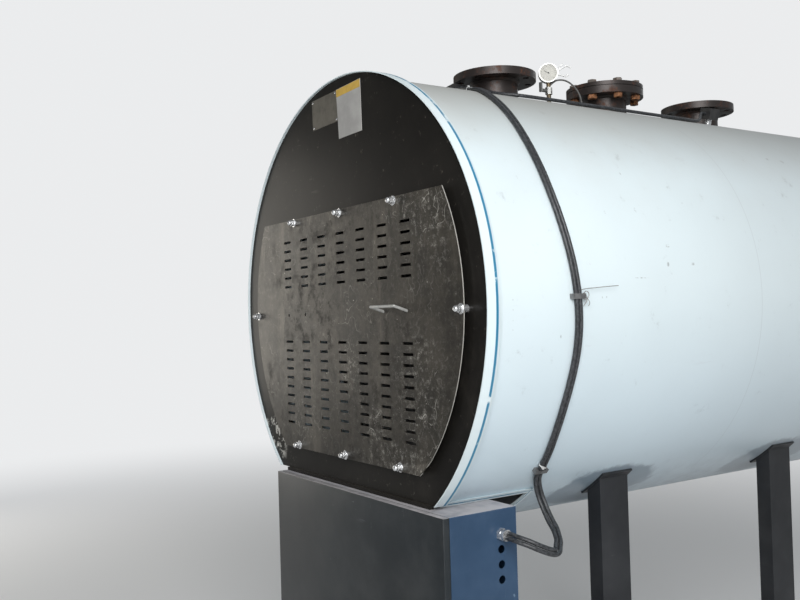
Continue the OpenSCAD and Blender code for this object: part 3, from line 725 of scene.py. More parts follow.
def sheet_dirt_and_shade(tree, vector, color):
    """Small marks, near-black patches round the leg tops, a darker top, painted shade under the
    shell, on the lower half and towards the rear, and a faint seam line.
    """
    ragged = map_range(tree, noise(tree, vector, 110.0, 4.0, 0.7), 0.42, 0.55)
    marks = []
    for angle, y, around, along in SHEET_MARKS:
        a = math.radians(angle)
        size = (MM * (5 + around * abs(math.sin(a))), along * MM, MM * (around + 1))
        marks.append(spot(tree, vector, in_row(on_shell(angle, y, CLADDING_R)), size, 0.3))
    marks = times(tree, times(tree, largest(tree, *marks), ragged), 0.6)
    # Near-black ragged patches round the leg tops
    patches = []
    for side in (-1, 1):
        for y in LEG_PLACES:
            place = on_shell(LEG_ANGLE, y + 5, CLADDING_R)
            place.x *= side
            patches.append(spot(tree, vector, in_row(place), (0.17, 0.27, 0.15), 0.45))
    blotch_noise = noise(tree, vector, 16.0, 8.0, 0.7)
    leg_patch_level = math_node(tree, "ADD", largest(tree, *patches), times(tree, blotch_noise, 1.1))
    z = part_of(tree, vector, "Z")
    y = part_of(tree, vector, "Y")
    # Painted shade under the shell, made patchy with noise
    under = map_range(tree, z, AXIS_H - 0.44, AXIS_H - 0.66)
    painted_underside_shade = times(tree, under, map_range(tree, blotch_noise, 0.35, 0.7, 0.3, 0.75))
    layers = (
        (marks, (0.12, 0.115, 0.105)),
        # Near-black ragged patches round the leg tops
        (map_range(tree, leg_patch_level, 0.66, 1.05), (0.02, 0.021, 0.023)),
        # Painted shade under the shell
        (painted_underside_shade, (0.2, 0.215, 0.225)),
        # Darker and warmer towards the top
        (map_range(tree, z, AXIS_H + 0.34, AXIS_H + 0.66, 0.0, 0.8), (0.3, 0.29, 0.265)),
        # Painted bluish shade on the lower half
        (map_range(tree, z, AXIS_H + 0.1, AXIS_H - 0.5, 0.0, 0.42), (0.42, 0.55, 0.66)),
        # Painted shade that deepens towards the rear
        (map_range(tree, y, FRONT_Y + 0.3, FRONT_Y + 1.9, 0.0, 0.42), (0.42, 0.45, 0.46)),
        (thin_line(tree, y, FRONT_Y + SEAM_Y * MM, 0.0006, 0.0022, 0.22), (0.25, 0.26, 0.27)))
    for mask, stain_and_shade in layers:
        color = mix_color(tree, mask, color, stain_and_shade)
    return color


def band_material(name, settings):
    """White end band with a line of blue film along its edge."""
    m, tree, vector = new_material(name, 0.35)
    y = part_of(tree, vector, "Y")
    low = FRONT_Y + settings.film_start
    high = low + settings.film_width
    over = map_range(tree, y, low - 0.001, low + 0.001)
    under = map_range(tree, y, high - 0.002, high + 0.002, 1.0, 0.0)
    ragged = map_range(tree, noise(tree, vector, 22.0, 5.0), 0.3, 0.42)
    line = times(tree, times(tree, over, under), ragged)
    grey = map_range(tree, y, high, high + 0.001)
    color = mix_color(tree, grey, settings.sheet_color, [c * 0.86 for c in settings.sheet_color])
    color = mix_color(tree, line, color, settings.film_color)
    dust = effect(m, "dust", color, dust=(0.45, 0.42, 0.38), amount=settings.dust, scale=7.0)
    set_color(m, dust.outputs["Color"])
    set_grain(m, 240.0, 9.0, 0.6, 0.2, 0.002)
    return m


def trim_material(name, settings):
    """Folded edge strip: white, with blue lines of film left along its edges."""
    m, tree, vector = new_material(name, 0.4)
    patchy = map_range(tree, noise(tree, vector, 14.0, 5.0), 0.3, 0.5, 0.45, 1.0)
    level = thin_line(tree, part_of(tree, vector, "Z"), AXIS_H + TRIM_LINE_H, *TRIM_LINE)
    rear_edge = FRONT_Y + (REAR_CUT_Y - 11) * MM
    upright = thin_line(tree, part_of(tree, vector, "Y"), rear_edge, *TRIM_LINE)
    line = times(tree, largest(tree, level, upright), patchy)
    color = mix_color(tree, line, settings.sheet_color, settings.film_color)
    worn = effect(m, "scuffs", color, scuff=(0.3, 0.3, 0.3), amount=0.5, scale=30.0)
    set_color(m, worn.outputs["Color"])
    return m


def end_plate_material(name, settings):
    """Black satin paint with dust, smears and a pale ragged patch at the lower left rim."""
    m, tree, vector = new_material(name, 0.36, 0.0, 0.09)
    tone = mix_color(tree, map_range(tree, noise(tree, vector, 1.6, 5.0), 0.35, 0.7),
                     settings.plate_color, [c * 1.5 for c in settings.plate_color])
    clouds = noise(tree, vector, 5.0, 9.0, 0.72, (1.0, 1.0, 0.55))
    clouds = times(tree, map_range(tree, clouds, 0.5, 0.78), 0.3)
    tone = mix_color(tree, clouds, tone, (0.06, 0.054, 0.046))
    smears = effect(m, "scuffs", tone, scuff=(0.09, 0.085, 0.075), amount=0.45, scale=3.5)
    specks = effect(m, "rust", smears.outputs["Color"], rust=(0.22, 0.2, 0.17), amount=0.02,
                    scale=40.0)
    # A pale ragged patch at the lower left rim
    rim = spot(tree, vector, in_row(RIM_PALE_PATCH), (0.12, 0.05, 0.11), 0.6)
    rim_noise = map_range(tree, noise(tree, vector, 24.0, 6.0, 0.7), 0.52, 0.58)
    rim = times(tree, rim, rim_noise)
    color = mix_color(tree, rim, specks.outputs["Color"], (0.55, 0.54, 0.5))
    dust = effect(m, "dust", color, dust=(0.12, 0.108, 0.09), amount=settings.dust, scale=3.0)
    set_color(m, dust.outputs["Color"])
    set_roughness(m, clouds, 0.3, 0.6)
    set_grain(m, 150.0, 2.0, 1.2, 0.2, 0.003)
    return m


def curved_scratches(tree, vector, scale, width, places_scale):
    """Thin curved lines, where a smooth noise passes its middle value."""
    line = thin_line(tree, noise(tree, vector, scale, 1.5, 0.5), 0.5, width * 0.3, width)
    places = map_range(tree, noise(tree, vector, places_scale, 5.0, 0.7), 0.52, 0.64)
    return times(tree, line, places)


def cover_material(name, settings):
    """Dark oiled steel, mottled, rubbed bright round the slots, its cut edge bare."""
    m, tree, vector = new_material(name, 0.4, 0.3, 0.35)
    base_color = settings.cover_color
    mottled = map_range(tree, noise(tree, vector, 6.0, 11.0, 0.8), 0.38, 0.64)
    color = mix_color(tree, mottled, [c * 0.3 for c in base_color], base_color)
    blots = map_range(tree, noise(tree, vector, 21.0, 8.0, 0.8), 0.47, 0.62)
    places = map_range(tree, noise(tree, vector, 2.6, 4.0, 0.6), 0.38, 0.6)
    blots = times(tree, times(tree, blots, places), 0.85)
    color = mix_color(tree, blots, color, (0.012, 0.0095, 0.0075))
    streak = noise(tree, vector, 7.0, 8.0, 0.75, (1.0, 1.0, 0.22))
    streak = times(tree, map_range(tree, streak, 0.5, 0.72), 0.6)
    color = mix_color(tree, streak, color, (0.135, 0.12, 0.098))
    rubbed = [spot(tree, vector, in_row((x, COVER_FACE, z)), (wide, 0.05, high), 0.15)
              for x, z, wide, high in RUBBED_PLACES]
    fuzz = map_range(tree, noise(tree, vector, 46.0, 9.0, 0.85), 0.5, 0.66)
    swirls = largest(tree, curved_scratches(tree, vector, 12.0, 0.008, 7.0),
                     curved_scratches(tree, vector, 27.0, 0.012, 11.0),
                     curved_scratches(tree, vector, 19.0, 0.007, 5.0))
    fuzz = largest(tree, times(tree, fuzz, 0.55), swirls)
    everywhere = math_node(tree, "ADD", times(tree, largest(tree, *rubbed), 0.95), 0.2)
    marks = times(tree, fuzz, everywhere, True)
    color = mix_color(tree, marks, color, (0.5, 0.485, 0.44))
    specks = map_range(tree, noise(tree, vector, 85.0, 2.0, 0.5), 0.735, 0.76)
    worn = mix_color(tree, times(tree, specks, 0.8), color, (0.5, 0.48, 0.42))
    dust = effect(m, "dust", worn, dust=(0.16, 0.14, 0.11), amount=settings.dust, scale=5.0)
    edge = bare_edge(tree, vector)
    set_color(m, mix_color(tree, edge, dust.outputs["Color"], (0.5, 0.49, 0.45)))
    set_roughness(m, blots, 0.34, 0.6)
    set_grain(m, 160.0, 4.0, 1.0, 0.25, 0.003)
    return m


def bare_edge(tree, vector):
    """Mask of the cover's outer cut edge, which faces sideways."""
    facing_y = math_node(tree, "ABSOLUTE", normal_part(tree, "Y"))
    sideways = map_range(tree, facing_y, 0.4, 0.75, 1.0, 0.0)
    x = math_node(tree, "SUBTRACT", part_of(tree, vector, "X"), COVER_X * MM)
    reach = map_range(tree, math_node(tree, "ABSOLUTE", x), 0.43, 0.44)
    z = math_node(tree, "SUBTRACT", part_of(tree, vector, "Z"), AXIS_H)
    top = COVER_TOP * MM
    bottom = -COVER_BOTTOM * MM
    above = map_range(tree, z, top - 0.008, top - 0.004)
    below = map_range(tree, z, bottom + 0.008, bottom + 0.012, 1.0, 0.0)
    outer = largest(tree, reach, above, below)
    return times(tree, sideways, outer)


def painted_material(name, color, dark, scuff, amount, dust=0.25, roughness=0.42,
                     fine=200.0, scale=8.0, ledge=0.0):
    """Sheet paint with tone, scuffs and dust, and more dust on level faces."""
    m, tree, vector = new_material(name, roughness)
    tone = mix_color(tree, map_range(tree, noise(tree, vector, 3.0, 5.0), 0.3, 0.7), dark, color)
    worn = effect(m, "scuffs", tone, scuff=scuff, amount=amount, scale=scale)
    dusty = effect(m, "dust", worn.outputs["Color"], dust=(0.4, 0.38, 0.35), amount=dust, scale=6.0)
    color = dusty.outputs["Color"]
    if ledge:
        level = map_range(tree, normal_part(tree, "Z"), 0.6, 0.9, 0.0, ledge)
        thick = map_range(tree, noise(tree, vector, 18.0, 6.0), 0.3, 0.6, 0.55, 1.0)
        color = mix_color(tree, times(tree, level, thick), color, (0.42, 0.405, 0.42))
    set_color(m, color)
    set_roughness(m, dusty.outputs["Mask"], roughness, 0.85)
    set_grain(m, fine, 5.0, 0.5, 0.25, 0.002)
    return m


def steel_material(name, color, rust, amount, roughness=0.45, metallic=0.7, scale=14.0):
    """Rolled or turned steel with rust."""
    m = new_material(name, roughness, metallic)[0]
    rusty = effect(m, "rust", color, rust=rust, amount=amount, scale=scale)
    set_color(m, rusty.outputs["Color"])
    set_roughness(m, rusty.outputs["Mask"], roughness, 0.85)
    set_bump(m, rusty.outputs["Height"], 0.4, 0.0015)
    return m


def plain_material(name, color, tone, roughness, metallic=0.0, scale=60.0, bump=0.15):
    """A small part's finish: slight tone and grain."""
    m, tree, vector = new_material(name, roughness, metallic)
    value = noise(tree, vector, scale, 5.0)
    set_color(m, mix_color(tree, map_range(tree, value, 0.35, 0.7), color, tone))
    set_bump(m, value, bump, 0.0006)
    return m


MATERIALS = {}


def material(name, maker, *values, **named):
    """Makes a material once and keeps it under its name, which the maker takes first."""
    if name not in MATERIALS:
        MATERIALS[name] = maker(name, *values, **named)
    return MATERIALS[name]


# Plain finishes: colour, second tone, roughness, then where given metal, grain and bump
PLAIN_FINISHES = {
    "bright_zinc": ((0.8, 0.81, 0.82), (0.5, 0.5, 0.5), 0.24, 0.8, 90.0),
    "black_plastic": ((0.02, 0.02, 0.021), (0.035, 0.034, 0.033), 0.5),
    "cable_sheath": ((0.012, 0.013, 0.015), (0.055, 0.058, 0.063), 0.42, 0.0, 150.0, 0.5),
    "tie_plastic": ((0.55, 0.56, 0.56), (0.4, 0.4, 0.39), 0.45),
    "clip_steel": ((0.22, 0.22, 0.22), (0.1, 0.1, 0.1), 0.45, 0.6, 50.0),
    "binding_wire": ((0.3, 0.28, 0.26), (0.16, 0.15, 0.14), 0.5, 0.6),
    "mineral_wool": ((0.5, 0.44, 0.24), (0.36, 0.3, 0.15), 0.95, 0.0, 40.0, 0.8),
    "handle_zinc": ((0.5, 0.5, 0.48), (0.38, 0.38, 0.36), 0.42, 0.4, 90.0),
    "data_plate": ((0.12, 0.11, 0.09), (0.08, 0.075, 0.06), 0.42, 0.3, 40.0),
    "paper_card": ((0.36, 0.355, 0.34), (0.28, 0.275, 0.265), 0.75, 0.0, 12.0),
    "ochre_strip": ((0.52, 0.34, 0.06), (0.42, 0.27, 0.05), 0.7, 0.0, 30.0),
    "grey_sealant": ((0.3, 0.3, 0.29), (0.22, 0.22, 0.21), 0.7, 0.0, 50.0, 0.5),
    "gauge_metal": ((0.3, 0.3, 0.29), (0.2, 0.2, 0.19), 0.3, 0.85),
    "gauge_brass": ((0.16, 0.12, 0.07), (0.09, 0.07, 0.045), 0.5, 0.6),
    "sealing_tape": ((0.86, 0.86, 0.85), (0.74, 0.74, 0.73), 0.6),
    "thin_tube": ((0.06, 0.058, 0.055), (0.1, 0.1, 0.095), 0.5),
    "dial_white": ((0.56, 0.55, 0.5), (0.5, 0.49, 0.45), 0.6),
}

# Steel finishes: colour, rust, its amount, then where given roughness, metal and grain
STEEL_FINISHES = {
    "flange_steel": ((0.034, 0.027, 0.025), (0.14, 0.055, 0.028), 0.25, 0.42, 0.45, 20.0),
    "rusty_bolts": ((0.3, 0.14, 0.07), (0.5, 0.22, 0.09), 0.5, 0.6, 0.35, 60.0),
    "dull_bolts": ((0.16, 0.14, 0.125), (0.3, 0.16, 0.09), 0.3, 0.5, 0.4, 60.0),
    "bare_steel": ((0.2, 0.19, 0.18), (0.2, 0.09, 0.04), 0.2),
}


def plain(name):
    return material(name, plain_material, *PLAIN_FINISHES[name])


def steel(name):
    return material(name, steel_material, *STEEL_FINISHES[name])


def dress(mat, *nodes):
    """Gives CAD nodes their finished material."""
    for node in nodes:
        mesh = NODES[node].data
        mesh.materials.clear()
        mesh.materials.append(mat)
        for polygon in mesh.polygons:
            polygon.material_index = 0


# Properties

COLOR = {"subtype": "COLOR", "size": 3, "min": 0, "max": 1}


class BoilerStageSettings(bpy.types.PropertyGroup):
    floor_color: bpy.props.FloatVectorProperty(
        name="Floor", description="Colour of the floor", default=(0.72, 0.72, 0.72), **COLOR)
    world_color: bpy.props.FloatVectorProperty(
        name="Background", description="Colour behind the boiler",
        default=(0.83, 0.84, 0.85), **COLOR)
    key_power: bpy.props.FloatProperty(
        name="Main light", description="Power of the light from the front right",
        default=290.0, min=0.0, unit="POWER")
    front_power: bpy.props.FloatProperty(
        name="Front light", description="Power of the light from the front left",
        default=52.0, min=0.0, unit="POWER")
    sky_strength: bpy.props.FloatProperty(
        name="Sky", description="Strength of the light from all sides", default=0.36, min=0.0)


class BoilerSheetSettings(bpy.types.PropertyGroup):
    sheet_color: bpy.props.FloatVectorProperty(
        name="Cladding", description="Colour of the white sheets",
        default=(0.66, 0.745, 0.77), **COLOR)
    film_color: bpy.props.FloatVectorProperty(
        name="Film", description="Colour of the protective film", default=(0.01, 0.17, 0.3), **COLOR)
    film_start: bpy.props.FloatProperty(
        name="Film start", description="Distance of the film line behind the front",
        default=0.027, min=0.0, unit="LENGTH")
    film_width: bpy.props.FloatProperty(
        name="Film width", description="Width of the film line", default=0.008, min=0.0,
        unit="LENGTH")
    dust: bpy.props.FloatProperty(
        name="Dust", description="Amount of dust on the white sheets", default=0.14, min=0.0,
        max=1.0, subtype="FACTOR")


class BoilerFrontSettings(bpy.types.PropertyGroup):
    plate_color: bpy.props.FloatVectorProperty(
        name="End plate", description="Colour of the end plates",
        default=(0.0085, 0.0078, 0.007), **COLOR)
    cover_color: bpy.props.FloatVectorProperty(
        name="Cover", description="Colour of the terminal cover",
        default=(0.047, 0.041, 0.032), **COLOR)
    dust: bpy.props.FloatProperty(
        name="Dust", description="Amount of dust on the front", default=0.14, min=0.0, max=1.0,
        subtype="FACTOR")
    dent: bpy.props.FloatProperty(
        name="Dent", description="Angle of the cover's bent corner",
        default=math.radians(9), min=0.0, max=0.3, subtype="ANGLE")


class BoilerCabinetSettings(bpy.types.PropertyGroup):
    side_color: bpy.props.FloatVectorProperty(
        name="Sides", description="Colour of the cabinet's sides",
        default=(0.02, 0.058, 0.122), **COLOR)
    # The door is the sides' paint, darker and greyer: painted shade
    shaded_door_color: bpy.props.FloatVectorProperty(
        name="Door", description="Colour of the cabinet's door",
        default=(0.012, 0.017, 0.021), **COLOR)


class BoilerCableSettings(bpy.types.PropertyGroup):
    diameter: bpy.props.FloatProperty(
        name="Cable", description="Diameter of the cables", default=0.012, min=0.004,
        unit="LENGTH")
    ties: bpy.props.BoolProperty(
        name="Ties", description="Adds the ties that hold the cables", default=True)


# Operators

class BOILER_OT_stage(bpy.types.Operator):
    """Makes the floor, the lights, the background and the camera"""
    bl_idname = "boiler.stage"
    bl_label = "Stage"

    def execute(self, context):
        settings = context.scene.boiler_stage
        scene = context.scene
        scene.view_settings.view_transform = "Standard"
        self.make_floor(settings)
        self.make_world(scene, settings)
        self.make_lights(settings)
        self.make_camera(scene)
        return {"FINISHED"}

    def make_floor(self, settings):
        bm = bmesh.new()
        bmesh.ops.create_circle(bm, cap_ends=True, segments=96, radius=FLOOR_R)
        floor = linked("floor", mesh_of("floor", bm))
        floor.location.z = CAD_BOX[0][2] - 0.0005
        m, tree, vector = new_material("pale_floor", 0.9)
        surface(tree, Base_Color=settings.floor_color)
        # Far from the boiler the floor takes the background's colour, for the camera only
        away = map_range(tree, length_of(tree, vector), *FLOOR_FADE)
        far = times(tree, away, camera_ray(tree))
        glow = add_node(tree, "Emission", Color=settings.world_color)
        mixed = mix_shaders(tree, far, tree.nodes["Principled BSDF"], glow)
        tree.links.new(mixed, tree.nodes["Material Output"].inputs["Surface"])
        floor.data.materials.append(m)

    def make_world(self, scene, settings):
        world = bpy.data.worlds.new("studio")
        scene.world = world
        world.use_nodes = True
        tree = world.node_tree
        tree.nodes.clear()
        out = add_node(tree, "OutputWorld")
        # The light from all sides is dimmer towards the front left
        split = add_node(tree, "SeparateXYZ",
                         Vector=add_node(tree, "TexCoord").outputs["Generated"])
        turned = math_node(tree, "ADD", split.outputs["X"],
                           times(tree, split.outputs["Y"], 0.6))
        strength = map_range(tree, turned, -0.75, 0.6, 0.3, 1.35)
        strength = times(tree, strength, settings.sky_strength)
        light = add_node(tree, "Background", Color=(0.93, 0.97, 1.0), Strength=strength)
        seen = add_node(tree, "Background", Color=settings.world_color, Strength=1.0)
        tree.links.new(mix_shaders(tree, camera_ray(tree), light, seen), out.inputs[0])

    def make_lights(self, settings):
        lights = (
            ("front_right_light", (4.2, -3.4, 3.4), (0.4, -0.3, 1.6), 3.2, settings.key_power,
             (1.0, 1.0, 1.0)),
            ("front_left_light", (-5.6, -2.7, 1.9), (0.0, -1.0, 1.5), 2.4, settings.front_power,
             (1.0, 0.95, 0.86)),
            ("rear_light", (-2.5, 4.5, 4.0), (0.0, 0.3, 1.6), 3.0, 36.0, (0.95, 0.98, 1.0)))
        for name, place, target, size, power, color in lights:
            data = bpy.data.lights.new(name, "AREA")
            data.size = size
            data.energy = power
            data.color = color
            lamp = linked(name, data)
            lamp.location = place
            aim = Vector(target) - Vector(place)
            lamp.rotation_euler = aim.to_track_quat("-Z", "Y").to_euler()

    def make_camera(self, scene):
        data = bpy.data.cameras.new("camera")
        data.sensor_width = 36.0
        data.lens = CAMERA_LENS
        data.clip_end = 200.0
        camera = linked("camera", data)
        turn = (Matrix.Rotation(math.radians(CAMERA_HEADING), 4, "Z")
                @ Matrix.Rotation(math.radians(90 + CAMERA_RISE), 4, "X")
                @ Matrix.Rotation(math.radians(CAMERA_ROLL), 4, "Z"))
        camera.matrix_world = Matrix.Translation(in_row(CAMERA_PLACE)) @ turn
        scene.camera = camera


class BOILER_OT_cables(bpy.types.Operator):
    """Makes the two cables of the drop pair, the cable along the top, and their ties"""
    bl_idname = "boiler.cables"
    bl_label = "Cables"

    def execute(self, context):
        settings = context.scene.boiler_cables
        pair = drop_route()
        for number, side in ((1, 0.5), (2, -0.5)):
            path = shifted(pair, side * CABLE_PITCH, DROP_SHELL_END)
            line = smooth_line([in_row(p) for p in path], 3)
            cable = tube_curve(f"drop_cable_line_{number}", line, settings.diameter / 2,
                               plain("cable_sheath"))
            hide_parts(f"drop_cable_{number}")
        ridge = smooth_line([in_row(p) for p in ridge_route()], 3)
        top = tube_curve("ridge_cable_line", ridge, settings.diameter / 2, plain("cable_sheath"))
        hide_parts("ridge_cable")
        dress(plain("clip_steel"), "cable_clips")
        dress(plain("bright_zinc"), "cable_gland")
        if settings.ties:
            self.make_ties(pair)
        return {"FINISHED"}

    def make_ties(self, pair):
        """Straps round the pair, each with its head, and the twisted wire at the upper one."""
        half = CABLE_PITCH / 2
        r = CABLE_R + 0.6
        for index, (place, lean) in enumerate(TIES):
            along = tangent(pair, place)
            side = side_of(pair, place, DROP_SHELL_END)
            place_at = basis(side, side.cross(along), along, in_row(pair[place]))
            bm = bmesh.new()
            ring = []
            for step in range(TIE_STEPS):
                a = math.tau * step / TIE_STEPS
                x = r * math.cos(a) + (half if math.cos(a) >= 0 else -half)
                ring.append(bm.verts.new((x * MM, r * math.sin(a) * MM, -TIE_W * MM / 2)))
            edges = [bm.edges.new((a, b)) for a, b in zip(ring, ring[1:] + ring[:1])]
            made = bmesh.ops.extrude_edge_only(bm, edges=edges)
            top = [v for v in made["geom"] if isinstance(v, bmesh.types.BMVert)]
            bmesh.ops.translate(bm, vec=(0, 0, TIE_W * MM), verts=top)
            bmesh.ops.recalc_face_normals(bm, faces=bm.faces)
            bmesh.ops.solidify(bm, geom=bm.faces, thickness=-1.2 * MM)
            append_mesh(bm, block((7, 6, 8), (half, r + 3, 0), 0.8))
            moved(bm, place_at @ Matrix.Rotation(lean, 4, "Y"))
            finish_piece(f"cable_tie_{index + 1}", bm, plain("tie_plastic"))
        self.make_wire(pair)

    def make_wire(self, pair):
        """A thin binding wire knotted at the upper clip, one end standing off to the rear."""
        centre = pair[WIRE_PLACE]
        outward = Vector((centre.x, 0, centre.z)).normalized()
        upward = Vector((-outward.z, 0, outward.x))
        for index, span in enumerate(WIRE_SPANS):
            points = [in_row(centre + Vector((0, s, 0)) + outward * o + upward * a)
                      for s, o, a in span]
            tube_curve(f"binding_wire_{index + 1}", smooth_line(points, 6), WIRE_R * MM,
                       plain("binding_wire"), 2)


class BOILER_OT_cladding(bpy.types.Operator):
    """Finishes the white sheets and the end bands"""
    bl_idname = "boiler.cladding"
    bl_label = "Cladding"

    def execute(self, context):
        settings = context.scene.boiler_sheets
        dress(material("white_cladding", cladding_material, settings), "cladding_left_sheet",
              "cladding_right_sheet", "chamber_hood", "rear_band")
        dress(material("white_band", band_material, settings), "front_band")
        dress(material("edge_trim", trim_material, settings), "cut_edge_trim")
        dress(steel("bare_steel"), "vessel_upper_shell", "vessel_lower_shell", "vessel_front_head",
              "vessel_rear_head", "closing_plate", "heaters")
        dress(plain("mineral_wool"), "insulation")
        return {"FINISHED"}


class BOILER_OT_front(bpy.types.Operator):
    """Makes the terminal cover with its bent corner, the studs, the plates and the handle"""
    bl_idname = "boiler.front"
    bl_label = "Front"

    def execute(self, context):
        settings = context.scene.boiler_front
        dress(material("black_end_plate", end_plate_material, settings), "front_plate",
              "rear_plate", "front_sill")
        self.make_cover(settings)
        self.make_studs()
        dress(plain("handle_zinc"), "pull_handle")
        self.make_plates()
        return {"FINISHED"}

    def make_cover(self, settings):
        """The CAD cover, bent back beyond a crease at its lower right corner."""
        bm = node_copy("terminal_cover")
        left, right = (in_row((x, COVER_FACE, z)) for x, z in CREASE)
        along = (right - left).normalized()
        normal = Vector((0, 1, 0)).cross(along)
        if normal.z < 0:
            normal.negate()
        for drop in (0.0, CREASE_W / 2, CREASE_W):
            everything = list(bm.verts) + list(bm.edges) + list(bm.faces)
            bmesh.ops.bisect_plane(bm, geom=everything, dist=1e-6,
                                   plane_co=left - normal * drop, plane_no=normal)
        for vert in bm.verts:
            gap = (vert.co - left).dot(normal)
            if gap < -1e-6 and vert.co.x > in_row((CREASE_FROM_X, 0, 0)).x:
                share = min(-gap / CREASE_W, 1.0)
                turn = Matrix.Rotation(-settings.dent * share, 4, along)
                vert.co = left + turn @ (vert.co - left)
        bevel_sharp(bm, 0.7, 1, 60)
        cover = finish_piece("terminal_cover_sheet", bm,
                             material("terminal_cover", cover_material, settings),
                             25)
        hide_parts("terminal_cover")

    def make_studs(self):
        """Studs with a sleeve, a washer and a domed cap nut each."""
        columns = (-STUD_PITCH, 0, STUD_PITCH)
        rows = (COVER_TOP - STUD_INSET, STUD_INSET - COVER_BOTTOM)
        places = [(COVER_X + c, r) for c in columns for r in rows]
        places += [(COVER_X + s * (COVER_R - STUD_INSET), -HANDLE_DROP) for s in (-1, 1)]
        gap = PLATE_FACE - COVER_FACE
        dome_h = CAP_LEN - NUT_H
        dome = [(0, 0), (CAP_R, 0), (CAP_R, dome_h * 0.42)]
        for step in range(1, 7):
            a = math.radians(15 * step)
            dome.append((CAP_R * math.cos(a) if step < 6 else 0,
                         dome_h * (0.42 + 0.58 * math.sin(a))))
        studs = bmesh.new()
        for i, (x, z) in enumerate(places):
            base = facing((0, -1, 0), in_row((x, PLATE_FACE, z)))
            front = facing((0, -1, 0), in_row((x, COVER_FACE, z)))
            rod = lathe([(0, 0), (STUD_R, 0), (STUD_R, gap), (0, gap)], 24)
            append_mesh(studs, rod, base)
            sleeve = lathe([(STUD_R, 0), (NUT_R, 0), (NUT_R, STUD_SLEEVE), (STUD_R, STUD_SLEEVE)], 24)
            append_mesh(studs, sleeve, base)
            washer = lathe([(0, 0), (WASHER_R, 0), (WASHER_R, WASHER_T - 0.4),
                            (WASHER_R - 0.6, WASHER_T), (0, WASHER_T)], 32)
            append_mesh(studs, washer, front)
            nut = hex_nut(NUT_R, NUT_H - WASHER_T, 1.1)
            turn = Matrix.Rotation(0.5 * i, 4, "Z")
            append_mesh(studs, nut, front @ Matrix.Translation((0, 0, WASHER_T * MM)) @ turn)
            append_mesh(studs, lathe(dome, 32), front @ Matrix.Translation((0, 0, NUT_H * MM)))
        piece = finish_piece("cover_stud_sets", studs, plain("bright_zinc"), 28)
        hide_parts("cover_studs")

    def make_plates(self):
        """A bare brushed data plate and a pale blank card with a coloured head strip."""
        self.flat_plate("data_plate", DATA_PLATE, 1.2, "data_plate")
        self.flat_plate("pale_card", PALE_CARD, 2.0, "paper_card")
        self.flat_plate("card_head_strip", CARD_STRIP, 2.4, "ochre_strip")
        rivets = bmesh.new()
        for x, z in PLATE_RIVETS:
            dome = lathe([(0, 0), (3.4, 0), (3.0, 1.2), (1.6, 2.1), (0, 2.4)], 16)
            append_mesh(rivets, dome, facing((0, -1, 0), in_row((x, PLATE_FACE - 1.2, z))))
        finish_piece("plate_rivets", rivets, plain("bright_zinc"))

    def flat_plate(self, name, corners, thickness, finish):
        bm = bmesh.new()
        face = bm.faces.new([bm.verts.new(in_row((x, PLATE_FACE, z))) for x, z in corners])
        made = bmesh.ops.extrude_face_region(bm, geom=[face])
        front = [v for v in made["geom"] if isinstance(v, bmesh.types.BMVert)]
        bmesh.ops.translate(bm, vec=(0, -thickness * MM, 0), verts=front)
        bmesh.ops.recalc_face_normals(bm, faces=bm.faces)
        bevel_sharp(bm, 0.4, 1)
        finish_piece(name, bm, plain(finish))


class BOILER_OT_cabinet(bpy.types.Operator):
    """Finishes the switch cabinet and its door"""
    bl_idname = "boiler.cabinet"
    bl_label = "Switch cabinet"

    def execute(self, context):
        settings = context.scene.boiler_cabinet
        side = tuple(settings.side_color)
        door = tuple(settings.shaded_door_color)
        blue = material("cabinet_side", painted_material, side,
                        [c * 0.7 for c in side], (0.26, 0.36, 0.46), 1.0, 0.1, 0.45, 180.0, 7.0)
        # The door: the sides' paint with painted shade, darker and greyer
        grey = material("cabinet_door", painted_material, door,
                        [c * 0.7 for c in door], (0.12, 0.13, 0.14), 0.7, 0.12, 0.4, 180.0, 4.0,
                        0.95)
        dusty = material("cabinet_top", painted_material, side,
                         side, (0.4, 0.4, 0.38), 0.8, 0.6, 0.7, 120.0, 10.0, 1.0)
        dress(blue, "cabinet_left_side", "cabinet_back", "cabinet_base", "cabinet_right_side")
        dress(dusty, "cabinet_top")
        bm = node_copy("cabinet_door")
        bevel_sharp(bm, 2.2, 3)
        piece = finish_piece("cabinet_door_pan", bm, grey)
        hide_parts("cabinet_door")
        return {"FINISHED"}


class BOILER_OT_legs(bpy.types.Operator):
    """Finishes the legs, feet and wear plates"""
    bl_idname = "boiler.legs"
    bl_label = "Legs"

    def execute(self, context):
        paint = material("leg_paint", painted_material, (0.014, 0.016, 0.02),
                         (0.008, 0.009, 0.011), (0.11, 0.11, 0.11), 0.6, 0.08, 0.5)
        dress(paint, "front_left_leg", "front_right_leg", "rear_left_leg", "rear_right_leg",
              "foot_plates", "wear_plates")
        return {"FINISHED"}


